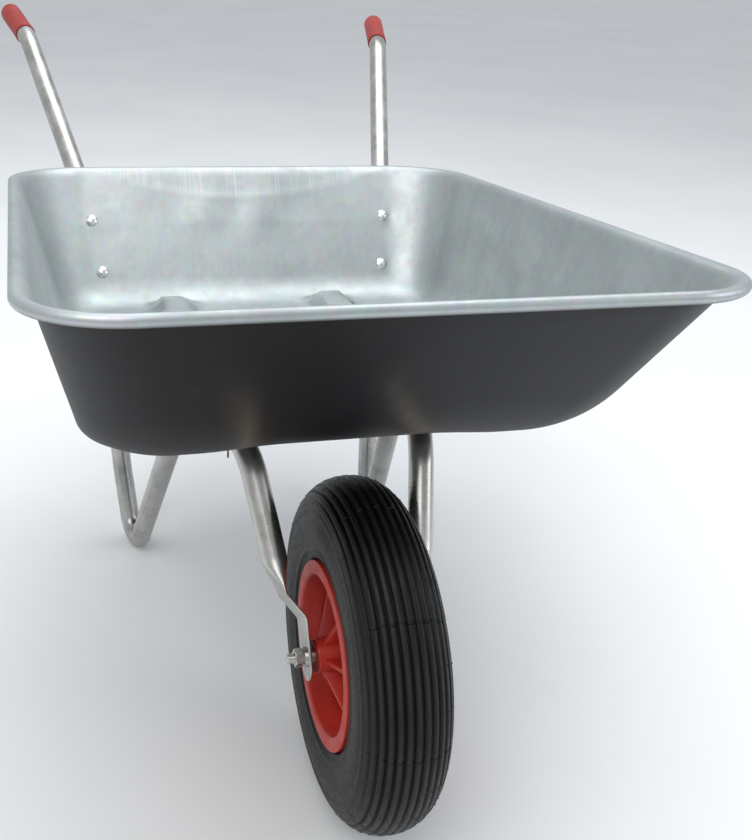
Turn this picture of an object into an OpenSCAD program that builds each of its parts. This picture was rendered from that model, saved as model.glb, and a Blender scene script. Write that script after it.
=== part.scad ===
// Builder's wheelbarrow: pressed galvanised tray on two bent handle tubes,
// two bent leg loops, and a pneumatic wheel between the flattened tube ends.
// Millimetres, +Z up, the wheel is at -Y and the handles are at +Y.
// The origin is on the ground, in the middle of the footprint's bounding box.
// Left and right are those of the person holding the handles: left is +X.

/* [Wheel] */
// Outside diameter of the tyre
tyre_d = 400; // [392:1:404]
// Widest width of the tyre
tyre_w = 97; // [92:1:100]
// Outside diameter of the rim flange
flange_d = 214; // [212:1:216]
// Distance between the outer faces of the two rim flanges
flange_w = 92; // [88:1:94]
// Outside diameter of the hub barrel
hub_d = 39; // [38:1:42]
// Overall length of the hub barrel
hub_len = 104; // [98:1:106]
// Number of stiffening gussets on each side of the wheel
gussets = 6; // [4:1:8]

/* [Axle] */
// Diameter of the axle bolt
axle_d = 12; // [10:1:12]
// Outside diameter of the spacer sleeve that the bushes turn on
sleeve_d = 20; // [18:1:22]
// Radial running clearance between bush and sleeve
run_gap = 0.05; // [0.03:0.01:0.08]
// Length of the axle bolt under its head
axle_len = 151; // [148:1:160]

/* [Frame tubes] */
// Outside diameter of the frame, handle and leg tubes
tube_d = 30; // [28:0.5:30]
// Wall thickness of the tubes
tube_wall = 1.5; // [1.2:0.1:2]
// Width of a tube end where it is pressed flat
flat_w = 44; // [40:1:46]
// Thickness of a tube end where it is pressed flat
flat_t = 3.2; // [3:0.1:3.4]
// Distance of the flattened fork ends from the middle plane
fork_x = 62; // [60:0.5:64]

/* [Grips] */
// Outside diameter of a grip
grip_d = 34; // [33:0.5:36]
// Length of a grip
grip_len = 117; // [110:1:118]

/* [Tray] */
// Gauge of the tray sheet
sheet = 1.0; // [0.8:0.1:1.4]
// Outside diameter of the rolled rim
bead_d = 12.6; // [11:0.2:13]
// Half width of the rim at the front, to the middle of the roll
rim_wf = 341; // [335:1:347]
// Half width of the rim at the rear, to the middle of the roll
rim_wr = 350; // [344:1:354]
// Height of the rim at the front
rim_zf = 655; // [645:1:665]
// Height of the rim at the rear
rim_zr = 559; // [555:1:560]
// Height of the two floor ribs
rib_h = 16; // [8:1:18]

/* [Legs] */
// Bend radius at the foot of a leg loop, to the middle of the tube
foot_r = 34; // [32:1:44]
// How far behind the axle a foot touches the ground
foot_y = 578; // [560:1:590]

/* [Fasteners] */
// Thread diameter of the tray bolts
bolt_d = 8; // [7:1:8]
// Diameter of the domed bolt heads
head_d = 20; // [18:1:20]

/* [Hidden] */
$fn = 64;
eps = 0.01;
wheel_r = tyre_d / 2;
tube_r = tube_d / 2;
fit = 0.2;                 // gap left between pieces that are bolted together

// ---- small vector helpers
function unit(v) = v / norm(v);
function flip(p, s) = [p[0] * s, p[1], p[2]];
// crossing of two lines in a plane: point p along d, point q along e
function meet(p, d, q, e) =
    let (k = ((q[0] - p[0]) * e[1] - (q[1] - p[1]) * e[0]) / (d[0] * e[1] - d[1] * e[0])) p + k * d;
// turns local x, y, z onto three unit vectors at point o
module frame(o, x, y, z)
    multmatrix([[x[0], y[0], z[0], o[0]], [x[1], y[1], z[1], o[1]], [x[2], y[2], z[2], o[2]], [0, 0, 0, 1]]) children();
// any unit vector square to v
function square_to(v) = unit(cross(v, abs(v[0]) > 0.9 ? [0, 1, 0] : [1, 0, 0]));
// rod from a to b
module rod(a, b, r) {
    z = unit(b - a); x = square_to(z);
    frame(a, x, cross(z, x), z) cylinder(h = norm(b - a), r = r);
}
// length that a bend of radius r takes from each of its straights
function bend_cut(a, b, c, r) =
    let (turn = acos(max(-1, min(1, unit(b - a) * unit(c - b))))) r * tan(turn / 2);
// round bar through points p, with bend radius rb[i] at point i;
// the straights run a little way into the bends and are a hair thinner there
lap = 1.2;  hair = 0.2;
module bent_bar(p, rb, r) {
    n = len(p);
    for (i = [0 : n - 2]) {
        d = unit(p[i + 1] - p[i]);
        s = i == 0 ? p[0] : p[i] + d * (bend_cut(p[i - 1], p[i], p[i + 1], rb[i]) - lap);
        e = i == n - 2 ? p[n - 1] : p[i + 1] - d * (bend_cut(p[i], p[i + 1], p[i + 2], rb[i + 1]) - lap);
        rod(s, e, r - hair);
    }
    for (i = [1 : n - 2]) {
        d1 = unit(p[i] - p[i - 1]); d2 = unit(p[i + 1] - p[i]);
        turn = acos(d1 * d2);
        s = p[i] - d1 * bend_cut(p[i - 1], p[i], p[i + 1], rb[i]);
        inward = unit(d2 - (d2 * d1) * d1);
        frame(s + inward * rb[i], -inward, d1, cross(-inward, d1))
            rotate_extrude(angle = turn) translate([rb[i], 0]) circle(r = r);
    }
}

// ---- side-view lines (y, z), measured from the wheel centre line on the ground
floor_a = [47, 419];  floor_b = [664, 383];          // inner floor line, front to rear
wall_top = [775, rim_zr];                            // inner rear wall, at the rim
floor_dir = unit(floor_b - floor_a);
floor_out = [floor_dir[1], -floor_dir[0]];           // square to the floor, downwards
wall_dir = unit(wall_top - floor_b);
wall_out = [wall_dir[1], -wall_dir[0]];              // square to the rear wall, outwards
tube_off = sheet + fit + tube_r;                     // inner sheet face to tube axis
leg_off = tube_r + fit / 2 + flat_t / 2;             // tube axis to flattened leg end

function floor_axis_z(y) = let (a = floor_a + floor_out * tube_off) a[1] + (y - a[0]) * floor_dir[1] / floor_dir[0];
function plan_x(y) = 105 + 0.2137 * (y - 142);       // the tubes spread apart towards the rear
side_u = unit([0.2137, 1, 0]);                       // level direction along one side of the frame
side_w = cross(side_u, [0, 0, 1]);                   // square to the plane of one side
function at(y, z) = [plan_x(y), y, z];

// corners of one frame tube
fork_top = at(142, floor_axis_z(142));
fork_rise = unit([fork_top[1], fork_top[2] - wheel_r]);   // side-view direction of the fork
fork_len = norm([fork_top[1], fork_top[2] - wheel_r]);
function fork_at(s, x) = [x, s * fork_rise[0], wheel_r + s * fork_rise[1]];
fork_spread = 0.127;
function fork_tube_x(s) = fork_top[0] - (fork_len - s) * fork_spread;
flat_s = 76;  round_s = 116;                         // where the fork is flat, and where it is round
rear_yz = meet(floor_a + floor_out * tube_off, floor_dir, floor_b + wall_out * tube_off, wall_dir);
rear_low = [plan_x(rear_yz[0]), rear_yz[0], rear_yz[1]];
handle_p = [824, 556.5];  handle_d = unit([242, 173]);
knee_yz = meet(floor_b + wall_out * tube_off, wall_dir, handle_p, handle_d);
knee = [241.2, knee_yz[0], knee_yz[1]];
grip_yz = handle_p + handle_d * ((1053 - handle_p[0]) / handle_d[0]);
grip_corner = [310.3, grip_yz[0], grip_yz[1]];
grip_end = [338.5, 1184, 749];
grip_dir = unit(grip_end - grip_corner);
grip_start = grip_end - grip_dir * grip_len;
grip_cap = 9;                                        // solid end of the grip
tube_path = [fork_at(round_s, fork_tube_x(round_s)), fork_top, rear_low, knee, grip_corner, grip_end - grip_dir * grip_cap];
tube_bends = [0, 75, 55, 100, 90, 0];

// the grip's rounded end decides the rear of the bounding box
end_r = 12;
y_max = grip_end[1] - end_r * grip_dir[1] + (grip_d / 2 - end_r) * sqrt(1 - grip_dir[1] * grip_dir[1]) + end_r;
y_mid = (y_max - wheel_r) / 2;
module placed() translate([0, -y_mid, 0]) children();

// ---- bolts through the rear wall and the floor
// points on the inner sheet face, in (y, z), and the tube's x there
function on_wall(s) = floor_b + wall_dir * s;
function wall_tube_x(s) = let (q = on_wall(s) + wall_out * tube_off)
    rear_low[0] + (knee[0] - rear_low[0]) * (q[0] - rear_low[1]) / (knee[1] - rear_low[1]);
low_s = 51;  high_s = 132;
floor_bolt_y = 205;
function on_floor(y) = let (a = [y, floor_axis_z(y)]) a - floor_out * tube_off;
wall_n = [0, wall_out[0], wall_out[1]];
floor_n = [0, floor_out[0], floor_out[1]];
function wall_pt(s) = let (q = on_wall(s)) [wall_tube_x(s), q[0], q[1]];
floor_pt = let (q = on_floor(floor_bolt_y)) [plan_x(floor_bolt_y), q[0], q[1]];

// ============================================================ tray
tray_n = 8;                                          // steps round each corner
function arc_pts(a, b, c, r, n) =
    let (u = unit(a - b), v = unit(c - b), phi = acos(u * v), t = r / tan(phi / 2),
         s = b + u * t, m = b + unit(u + v) * (r / sin(phi / 2)), e = b + v * t,
         p = s - m, q = e - m, turn = 180 - phi, sg = p[0] * q[1] - p[1] * q[0] > 0 ? 1 : -1)
    [for (i = [0 : n]) let (w = sg * turn * i / n) m + [p[0] * cos(w) - p[1] * sin(w), p[0] * sin(w) + p[1] * cos(w)]];
function mixp(a, b, k) = a + (b - a) * k;
// half outline, front middle to rear middle
function half_loop(yf, wf, rf, yr, wr, rr) =
    let (a = [0, yf], b = [wf, yf], c = [wr, yr], d = [0, yr],
         f = arc_pts(a, b, c, rf, tray_n), g = arc_pts(b, c, d, rr, tray_n), l = tray_n)
    concat([a, mixp(a, f[0], 0.5)], f, [for (k = [0.25, 0.5, 0.75]) mixp(f[l], g[0], k)], g, [mixp(g[l], d, 0.5), d]);
function mirror_loop(h) = concat(h, [for (i = [len(h) - 2 : -1 : 1]) [-h[i][0], h[i][1]]]);
function loop(yf, wf, rf, yr, wr, rr) = mirror_loop(half_loop(yf, wf, rf, yr, wr, rr));

rim_yf = -122;  rim_yr = 787;  rim_in = 12;          // rim roll's middle line, and wall inset from it
rim_rf = 94;  rim_rr = 111;
floor_wf = 285;  floor_wr = 287;  floor_rf = 93;  floor_rr = 60;
cut_f = 123;  cut_s = 55;  cut_r = 40;               // where the floor blend begins: front, sides, rear
bead_r = bead_d / 2;
function rim_z(y) = rim_zf + (rim_zr - rim_zf) * (y - rim_yf) / (rim_yr - rim_yf);
function floor_z(y) = floor_a[1] + (floor_b[1] - floor_a[1]) * (y - floor_a[0]) / (floor_b[0] - floor_a[0]);
rim2 = loop(rim_yf, rim_wf, rim_rf, rim_yr, rim_wr, rim_rr);
top2 = loop(rim_yf + rim_in, rim_wf - rim_in, rim_rf - rim_in, wall_top[0], rim_wr - rim_in, rim_rr - rim_in);
low2 = loop(floor_a[0], floor_wf, floor_rf, floor_b[0], floor_wr, floor_rr);
ns = len(rim2);
K = [for (p = rim2) [p[0], p[1], rim_z(p[1])]];
A = [for (p = top2) [p[0], p[1], rim_z(p[1])]];
B = [for (p = low2) [p[0], p[1], floor_z(p[1])]];
// outward level direction at each station
O = [for (j = [0 : ns - 1]) let (t = unit(low2[(j + 1) % ns] - low2[(j + ns - 1) % ns])) [t[1], -t[0], 0]];
cut = [for (b = B) let (f = min(1, max(0, (b[1] - floor_a[0]) / 100)), r = min(1, max(0, (floor_b[0] - b[1]) / 95)))
       (cut_f * (1 - f) + cut_s * f) * r + cut_r * (1 - r)];
up = [0, 0, 1];
D = [for (j = [0 : ns - 1]) unit(A[j] - B[j])];
NW = [for (j = [0 : ns - 1]) unit(O[j] * D[j][2] - up * (D[j] * O[j]))];
W = [for (j = [0 : ns - 1]) B[j] + D[j] * cut[j]];
F = [for (j = [0 : ns - 1]) let (q = B[j] - O[j] * cut[j] * 0.9) [q[0], q[1], floor_z(q[1])]];
function bez(a, b, c, s) = (1 - s) * (1 - s) * a + 2 * s * (1 - s) * b + s * s * c;
function mitre(n, m) = (n + m) / (1 + n * m);
// one closed run of points across the sheet at station j: inner face, roll, outer face
function station(j) =
    let (w1 = A[j] - D[j] * 9, a2 = A[j] + D[j] * (bead_r / D[j][2]), k1 = K[j] + up * bead_r,
         q = bead_r - sheet, k2 = K[j] + up * q, dn = -up,
         w1o = w1 + NW[j] * sheet, a2o = a2 + mitre(NW[j], dn) * sheet,
         wo = W[j] + NW[j] * sheet, bo = B[j] + mitre(NW[j], dn) * sheet, fo = F[j] - up * sheet)
    concat(
        [for (s = [0 : 0.2 : 0.81]) bez(F[j], B[j], W[j], s)],
        [W[j], (W[j] + w1) / 2],
        [for (s = [0 : 0.25 : 0.76]) bez(w1, a2, k1, s)],
        [for (i = [0 : 9]) let (g = 90 - 25 * i) K[j] + (O[j] * cos(g) + up * sin(g)) * bead_r],
        [for (i = [0 : 7]) let (g = -135 + 225 * i / 7) K[j] + (O[j] * cos(g) + up * sin(g)) * q],
        [for (s = [0.25 : 0.25 : 1.01]) bez(k2, a2o, w1o, s)],
        [(wo + w1o) / 2, wo],
        [for (s = [0.2 : 0.2 : 1.01]) bez(wo, bo, fo, s)]);
RINGS = [for (j = [0 : ns - 1]) station(j)];
nr = len(RINGS[0]);
mid_y = 400;
tray_points = concat([for (k = [0 : nr - 1]) for (j = [0 : ns - 1]) RINGS[j][k]],
                     [[0, mid_y, floor_z(mid_y)], [0, mid_y, floor_z(mid_y) - sheet]]);
tray_faces = concat(
    [for (k = [0 : nr - 2]) for (j = [0 : ns - 1]) let (a = k * ns + j, b = k * ns + (j + 1) % ns) [a, b, b + ns]],
    [for (k = [0 : nr - 2]) for (j = [0 : ns - 1]) let (a = k * ns + j, b = k * ns + (j + 1) % ns) [a, b + ns, a + ns]],
    [for (j = [0 : ns - 1]) [nr * ns, (j + 1) % ns, j]],
    [for (j = [0 : ns - 1]) [nr * ns + 1, (nr - 1) * ns + j, (nr - 1) * ns + (j + 1) % ns]]);

// one raised rib of the floor, grown by g all round and dropped by d
rib_x = 124;  rib_w = 72;  rib_l = 310;  rib_y = 500;
rib_outline = let (h = rib_w / 2, m = rib_l / 2 - 26)
    concat([for (i = [0 : 6]) let (w = 30 * i) [h * cos(w), m + 26 * sin(w)]], [for (i = [6 : 12]) let (w = 30 * i) [h * cos(w), -m + 26 * sin(w)]]);
module rib(g, d) {
    tilt = atan(floor_dir[1] / floor_dir[0]);
    k = (rib_w / 2 + g) / (rib_w / 2);
    translate([rib_x, rib_y, floor_z(rib_y) - d]) rotate([tilt, 0, 0])
        linear_extrude(height = rib_h, scale = [0.5, 0.93], slices = 1, $fn = 12)
            polygon([for (q = rib_outline) [q[0] * k, q[1] * (1 + 2 * g / rib_l)]]);
}
// small flats pressed into the rear wall under the bolt heads; the height is inwards from the wall's own face
seat_low = 0.6;  seat_high = 1.2;
module wall_seats(d, h, lift_in)
    for (q = [[low_s, seat_low], [high_s, seat_high]], s = [-1, 1])
        let (p = flip(wall_pt(q[0]), s) - wall_n * (q[1] + lift_in)) rod(p, p + wall_n * h, d / 2);
module tray() color("lightslategray") placed() {
    difference() {
        union() {
            polyhedron(points = tray_points, faces = tray_faces, convexity = 6);
            for (s = [0, 1]) mirror([s, 0, 0]) rib(0, 0.4);
            wall_seats(head_d + 6, sheet + 0.2, 0);
        }
        wall_seats(head_d + 4, 5, 5);
        for (s = [0, 1]) mirror([s, 0, 0]) rib(-1.3, 1.7);
        for (s = [-1, 1]) {
            for (q = [low_s, high_s]) rod(flip(wall_pt(q), s) - wall_n * 6, flip(wall_pt(q), s) + wall_n * 6, bolt_d / 2 + 0.2);
            rod(flip(floor_pt, s) - floor_n * 6, flip(floor_pt, s) + floor_n * 6, bolt_d / 2 + 0.2);
        }
    }
}

// ============================================================ flattened tube ends
// centre line c in local (x, y), thickness t, made into a closed outline
function seg_n(p, q) = let (d = unit(q - p)) [-d[1], d[0]];
function vert_n(c, i) = i == 0 ? seg_n(c[0], c[1]) : i == len(c) - 1 ? seg_n(c[i - 1], c[i]) :
    let (a = seg_n(c[i - 1], c[i]), b = seg_n(c[i], c[i + 1])) (a + b) / (1 + a * b);
function strip(c, t) = concat([for (i = [0 : len(c) - 1]) c[i] + vert_n(c, i) * t / 2],
                              [for (i = [len(c) - 1 : -1 : 0]) c[i] - vert_n(c, i) * t / 2]);
// centre line with every inner corner rounded to radius r
function rounded(c, r) = concat([c[0]], [for (i = [1 : len(c) - 2]) each arc_pts(c[i - 1], c[i], c[i + 1], r, 6)], [c[len(c) - 1]]);
// bar of centre line c, its first end rounded off
end_round = flat_w / 2 + 1.5;
module flat_bar(c) {
    d = unit(c[1] - c[0]);
    difference() {
        linear_extrude(height = flat_w, center = true) polygon(strip(c, flat_t));
        // square corners of the free end are taken off
        multmatrix([[d[0], -d[1], 0, c[0][0]], [d[1], d[0], 0, c[0][1]], [0, 0, 1, 0], [0, 0, 0, 1]])
            difference() {
                translate([-5, -8, -flat_w]) cube([5 + flat_w / 2, 16, 2 * flat_w]);
                translate([end_round, 0, 0]) rotate([90, 0, 0]) cylinder(h = 40, r = end_round, center = true);
            }
    }
}
// transition from flat (at a, normal n, across w) to round (at b)
module squeeze(a, b, n, w) {
    d = unit(b - a);
    x = unit(n - (n * d) * d);
    hull() {
        frame(a, cross(d, x), x, -d) cube([flat_w - 0.4, flat_t + 0.1, 1], center = true);
        frame(a + d * 8, cross(d, x), x, -d) cube([flat_w - 3, flat_t + 3, 1], center = true);
        frame(b + d * 2, x, cross(d, x), d) cylinder(h = 1, r = tube_r - 0.12, $fn = 32);
    }
}

// ============================================================ frame tubes
module frame_tube(s) {
    path = [for (p = tube_path) flip(p, s)];
    n = len(path);
    // side-view plane of the fork: local x up the fork, local y outwards
    fs = [0, fork_rise[0], fork_rise[1]];
    line = rounded([[-27, fork_x], [44, fork_x], [66, fork_tube_x(66) - 1], [flat_s + 10, fork_tube_x(flat_s + 10)]], 12);
    difference() {
        union() {
            difference() {
                bent_bar(path, tube_bends, tube_r);
                inner = [for (i = [0 : n - 1]) i == 0 ? path[0] + unit(path[1] - path[0]) * 8 : i == n - 1 ? path[i] + unit(path[i] - path[i - 1]) * 3 : path[i]];
                bent_bar(inner, tube_bends, tube_r - tube_wall);
            }
            frame([0, 0, wheel_r], fs, [s, 0, 0], cross(fs, [s, 0, 0])) flat_bar(line);
            squeeze(flip(fork_at(flat_s, fork_tube_x(flat_s)), s), path[0], [1, 0, 0], 0);
        }
        rod([s * (fork_x - 6), 0, wheel_r], [s * (fork_x + 6), 0, wheel_r], axle_d / 2 + 0.25);
        for (q = [low_s, high_s]) rod(flip(wall_pt(q), s) - wall_n * 4, flip(wall_pt(q), s) + wall_n * 40, bolt_d / 2 + 0.2);
        rod(flip(floor_pt, s) - floor_n * 4, flip(floor_pt, s) + floor_n * 40, bolt_d / 2 + 0.2);
    }
}
module frame_tube_left() color("gainsboro") placed() frame_tube(1);
module frame_tube_right() color("gainsboro") placed() frame_tube(-1);

// ============================================================ legs
// in the plane of one side: u runs level towards the rear, v is height
uy = norm([0.2137, 1]);
function uv(y, z) = [(y - 142) * uy, z];
function uv3(q, s) = flip(at(142 + q[0] / uy, q[1]), s);
// flattened front end under the frame tube
front_y0 = floor_bolt_y - 22;
function under(y) = let (k = [y, floor_axis_z(y)] + floor_out * leg_off) uv(k[0], k[1]);
leg_front_tip = under(front_y0);
leg_front_bend = under(340);
// flattened rear end behind the frame tube
function behind(s) = let (k = on_wall(s) + wall_out * (tube_off + leg_off)) uv(k[0], k[1]);
leg_rear_tip = behind(low_s + 22);
leg_rear_bend = behind(low_s - 22);
leg_elbow = uv(640, 110);
leg_rear_x = wall_tube_x(low_s);
function yz(q) = [142 + q[0] / uy, q[1]];
foot_c = uv(foot_y, foot_r + tube_r);
// unit direction from p along the tangent to a circle, side +1 or -1
function tangent(p, c, r, side) =
    let (v = c - p, l = norm(v), g = asin(r / l) * side, d = v / l) [d[0] * cos(g) - d[1] * sin(g), d[0] * sin(g) + d[1] * cos(g)];
foot_corner = meet(leg_front_bend, tangent(leg_front_bend, foot_c, foot_r, -1), leg_elbow, tangent(leg_elbow, foot_c, foot_r, 1));
lf = unit(foot_corner - leg_front_bend);
lr = unit(leg_elbow - leg_rear_bend);
leg_round_f = leg_front_bend + lf * 62;
leg_round_r = leg_rear_bend + lr * 60;
module leg(s) {
    w3 = flip(side_w, s);
    path = [uv3(leg_round_f, s), uv3(foot_corner, s), uv3(leg_elbow, s), uv3(leg_round_r, s)];
    u3 = flip(side_u, s);
    difference() {
        union() {
            difference() {
                bent_bar(path, [0, foot_r, 90, 0], tube_r);
                a = path[0] + unit(path[1] - path[0]) * 8;
                b = path[3] + unit(path[2] - path[3]) * 8;
                bent_bar([a, path[1], path[2], b], [0, foot_r, 90, 0], tube_r - tube_wall);
            }
            frame(uv3([0, 0], s), u3, [0, 0, 1], cross(u3, [0, 0, 1]))
                flat_bar(rounded([leg_front_tip, leg_front_bend, leg_front_bend + lf * 24], 14));
            // the rear end is turned level with the tray's rear wall, so that its bolt sits square
            frame([s * leg_rear_x, 0, 0], [0, 1, 0], [0, 0, 1], [1, 0, 0])
                flat_bar(rounded([yz(leg_rear_tip), yz(leg_rear_bend), yz(leg_rear_bend + lr * 24)], 14));
            squeeze(uv3(leg_front_bend + lf * 14, s), path[0], u3, 0);
            squeeze(let (q = yz(leg_rear_bend + lr * 14)) [s * leg_rear_x, q[0], q[1]], path[3], [0, 1, 0], 0);
        }
        rod(flip(wall_pt(low_s), s) + wall_n * 20, flip(wall_pt(low_s), s) + wall_n * 45, bolt_d / 2 + 0.2);
        rod(flip(floor_pt, s) + floor_n * 20, flip(floor_pt, s) + floor_n * 45, bolt_d / 2 + 0.2);
    }
}
module leg_left() color("darkgray") placed() leg(1);
module leg_right() color("darkgray") placed() leg(-1);

// ============================================================ grips
module grip(s) {
    d = flip(grip_dir, s); p = flip(grip_start, s); x = square_to(d);
    gr = grip_d / 2; br = tube_r + 0.05; L = grip_len;
    frame(p, x, cross(d, x), d) rotate_extrude() difference() {
        union() {
            square([gr, L - end_r]);
            translate([0, L - end_r - eps]) square([gr - end_r, end_r + eps]);
            intersection() {
                translate([gr - end_r, L - end_r]) circle(r = end_r);
                translate([0, L - end_r - eps]) square([gr, end_r + eps]);
            }
        }
        translate([-1, -1]) square([br + 1, L - grip_cap + 1.1]);
    }
}
module grip_left() color("firebrick") placed() grip(1);
module grip_right() color("firebrick") placed() grip(-1);

// ============================================================ tray fasteners
head_h = 4.6;
// domed bolt: head on the plane at p, shank along n for length l
module dome_bolt(p, n, l) {
    x = square_to(n); R = (head_d * head_d / 4 + head_h * head_h) / (2 * head_h);
    frame(p, x, cross(n, x), n) {
        cylinder(h = l, d = bolt_d);
        intersection() {
            translate([0, 0, R - head_h]) sphere(r = R);
            translate([0, 0, -head_h - 1]) cylinder(h = head_h + 1, d = head_d + 4);
        }
    }
}
module ring(p, n, h, d, bore) {
    x = square_to(n);
    frame(p, x, cross(n, x), n) difference() {
        cylinder(h = h, d = d);
        translate([0, 0, -1]) cylinder(h = h + 2, d = bore);
    }
}
module hex_nut(p, n, h, af, bore) {
    x = square_to(n);
    frame(p, x, cross(n, x), n) difference() {
        cylinder(h = h, d = af / cos(30), $fn = 6);
        translate([0, 0, -1]) cylinder(h = h + 2, d = bore);
    }
}
// stack heights from the inner sheet face
back_high = sheet + fit + tube_d + fit;
back_low = tube_off + leg_off + flat_t / 2 + fit;
wash_h = 1.6;  nut_h = 6.5;
high_len = back_high + wash_h + nut_h + 3.5;
low_len = back_low + wash_h + nut_h + 4;
floor_len = back_low + wash_h + nut_h + 15;
module each_side() for (s = [-1, 1]) { $s = s; children(); }
module wall_bolts_upper() color("silver") placed() each_side() dome_bolt(flip(wall_pt(high_s), $s) - wall_n * (seat_high + 0.05), wall_n, high_len + seat_high);
module wall_bolts_lower() color("silver") placed() each_side() dome_bolt(flip(wall_pt(low_s), $s) - wall_n * (seat_low + 0.05), wall_n, low_len + seat_low);
module floor_bolts() color("silver") placed() each_side() dome_bolt(flip(floor_pt, $s) - floor_n * 0.1, floor_n, floor_len);
module bolt_washers() color("silver") placed() each_side() {
    ring(flip(wall_pt(high_s), $s) + wall_n * back_high, wall_n, wash_h, 20, bolt_d + 0.4);
    ring(flip(wall_pt(low_s), $s) + wall_n * back_low, wall_n, wash_h, 20, bolt_d + 0.4);
    ring(flip(floor_pt, $s) + floor_n * back_low, floor_n, wash_h, 20, bolt_d + 0.4);
}
module bolt_nuts() color("silver") placed() each_side() {
    hex_nut(flip(wall_pt(high_s), $s) + wall_n * (back_high + wash_h), wall_n, nut_h, 13, bolt_d + 0.1);
    hex_nut(flip(wall_pt(low_s), $s) + wall_n * (back_low + wash_h), wall_n, nut_h, 13, bolt_d + 0.1);
    hex_nut(flip(floor_pt, $s) + floor_n * (back_low + wash_h), floor_n, nut_h, 13, bolt_d + 0.1);
}

// ============================================================ axle
axle_wash = 2.5;  axle_nut_h = 10;  axle_head = 7.5;
strip_out = fork_x + flat_t / 2;  strip_in = fork_x - flat_t / 2;
module on_axle() placed() translate([0, 0, wheel_r]) rotate([0, 90, 0]) children();
module axle_bolt() color("silver") on_axle() {
    translate([0, 0, strip_out + axle_wash]) cylinder(h = axle_head, d = 19 / cos(30), $fn = 6);
    translate([0, 0, strip_out + axle_wash + eps - axle_len]) cylinder(h = axle_len, d = axle_d);
}
module axle_nut() color("silver") on_axle() translate([0, 0, -strip_out - axle_wash - axle_nut_h]) difference() {
    cylinder(h = axle_nut_h, d = 19 / cos(30), $fn = 6);
    translate([0, 0, -1]) cylinder(h = axle_nut_h + 2, d = axle_d + 0.1);
}
module axle_washers() color("silver") on_axle() for (z = [strip_out, -strip_out - axle_wash]) translate([0, 0, z]) difference() {
    cylinder(h = axle_wash, d = 24);
    translate([0, 0, -1]) cylinder(h = axle_wash + 2, d = axle_d + 0.6);
}
module axle_sleeve() color("silver") on_axle() difference() {
    cylinder(h = 2 * strip_in, d = sleeve_d, center = true);
    cylinder(h = 2 * strip_in + 2, d = axle_d + 0.3, center = true);
}
bush_len = 26;  bush_d = 30;
module bush(s) on_axle() scale([1, 1, 1]) rotate([s > 0 ? 0 : 180, 0, 0]) translate([0, 0, hub_len / 2 - bush_len]) difference() {
    union() {
        cylinder(h = bush_len, d = bush_d);
        translate([0, 0, bush_len + 0.1]) cylinder(h = 2.5, d = 36);
        translate([0, 0, bush_len - 1]) cylinder(h = 2, d = bush_d);
    }
    translate([0, 0, -1]) cylinder(h = bush_len + 6, d = sleeve_d + 2 * run_gap);
}
module hub_bush_left() color("whitesmoke") bush(1);
module hub_bush_right() color("whitesmoke") bush(-1);

// ============================================================ wheel
fl_r = flange_d / 2;  fl_x = flange_w / 2;
seat_r = fl_r - 7;         // bead seat of the tyre
well_r = seat_r - 11;      // drop centre
dish_r = well_r - 4;       // inside of the barrel
valve_x = 20;
// outline of the rim's cross-section in (radius, x), from the web to the lip, for x > 0
rim_half = [[dish_r, 3], [well_r, 3], [well_r, 14], [seat_r - 1, 26], [seat_r, fl_x - 8.5], [fl_r - 1.5, fl_x - 7.5],
            [fl_r, fl_x - 5.5], [fl_r, fl_x - 1.5], [fl_r - 1.5, fl_x], [fl_r - 13, fl_x], [fl_r - 15, fl_x - 1.5], [dish_r + 1, fl_x - 14], [dish_r, 22]];
module gusset() rotate([90, 0, 0]) linear_extrude(height = 5, center = true)
    polygon([[hub_d / 2 - 2, 0], [dish_r + 1.5, 0], [dish_r + 1.5, 20], [hub_d / 2 + 9, hub_len / 2 - 10], [hub_d / 2 - 2, hub_len / 2 - 5]]);
module wheel_rim() color("crimson") on_axle() difference() {
    union() {
        rotate_extrude($fn = 96) {
            polygon(concat(rim_half, [for (i = [len(rim_half) - 1 : -1 : 0]) [rim_half[i][0], -rim_half[i][1]]]));
            translate([hub_d / 2 - 3, -3]) square([dish_r + 2 - hub_d / 2 + 3, 6]);
        }
        cylinder(h = hub_len, d = hub_d, center = true);
        for (i = [0 : gussets - 1]) rotate([0, 0, 360 / gussets * i + 15]) {
            gusset();
            mirror([0, 0, 1]) gusset();
        }
    }
    cylinder(h = hub_len + 2, d = 24, center = true);
    for (s = [0, 1]) mirror([0, 0, s]) translate([0, 0, hub_len / 2 - bush_len - 0.1]) cylinder(h = bush_len + 2, d = bush_d + 0.1);
    translate([0, 0, valve_x]) rotate([0, 90, 45]) cylinder(h = 120, d = 8.4);
}

// cross-section of the tyre casing in (radius, x), for x > 0
hw = tyre_w / 2;
wide_r = wheel_r - 42;     // radius where the tyre is widest
function crown(a, dx, dr) = [wide_r + (42 - dr) * sin(a), (hw - dx) * pow(cos(a), 0.95)];
function wall_of(dx) = [[fl_r + 8, hw - 4.6 - dx], [fl_r + 18, hw - 2.2 - dx], [fl_r + 33, hw - 0.5 - dx]];
tyre_out = concat([[seat_r + 9, fl_x - 17], [seat_r + 0.3, fl_x - 19], [seat_r + 0.3, fl_x - 8.9], [seat_r + 5.7, fl_x - 8.9],
                   [fl_r + 0.6, fl_x - 6.8], [fl_r + 1.6, fl_x - 4]],
                  wall_of(0), [for (i = [0 : 11]) crown(i * 7.5, 0, 0)]);
tyre_in = concat(wall_of(5), [for (i = [0 : 11]) crown(i * 7.5, 5, 7.5)]);
function flipx(l) = [for (i = [len(l) - 1 : -1 : 0]) [l[i][0], -l[i][1]]];
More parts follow.
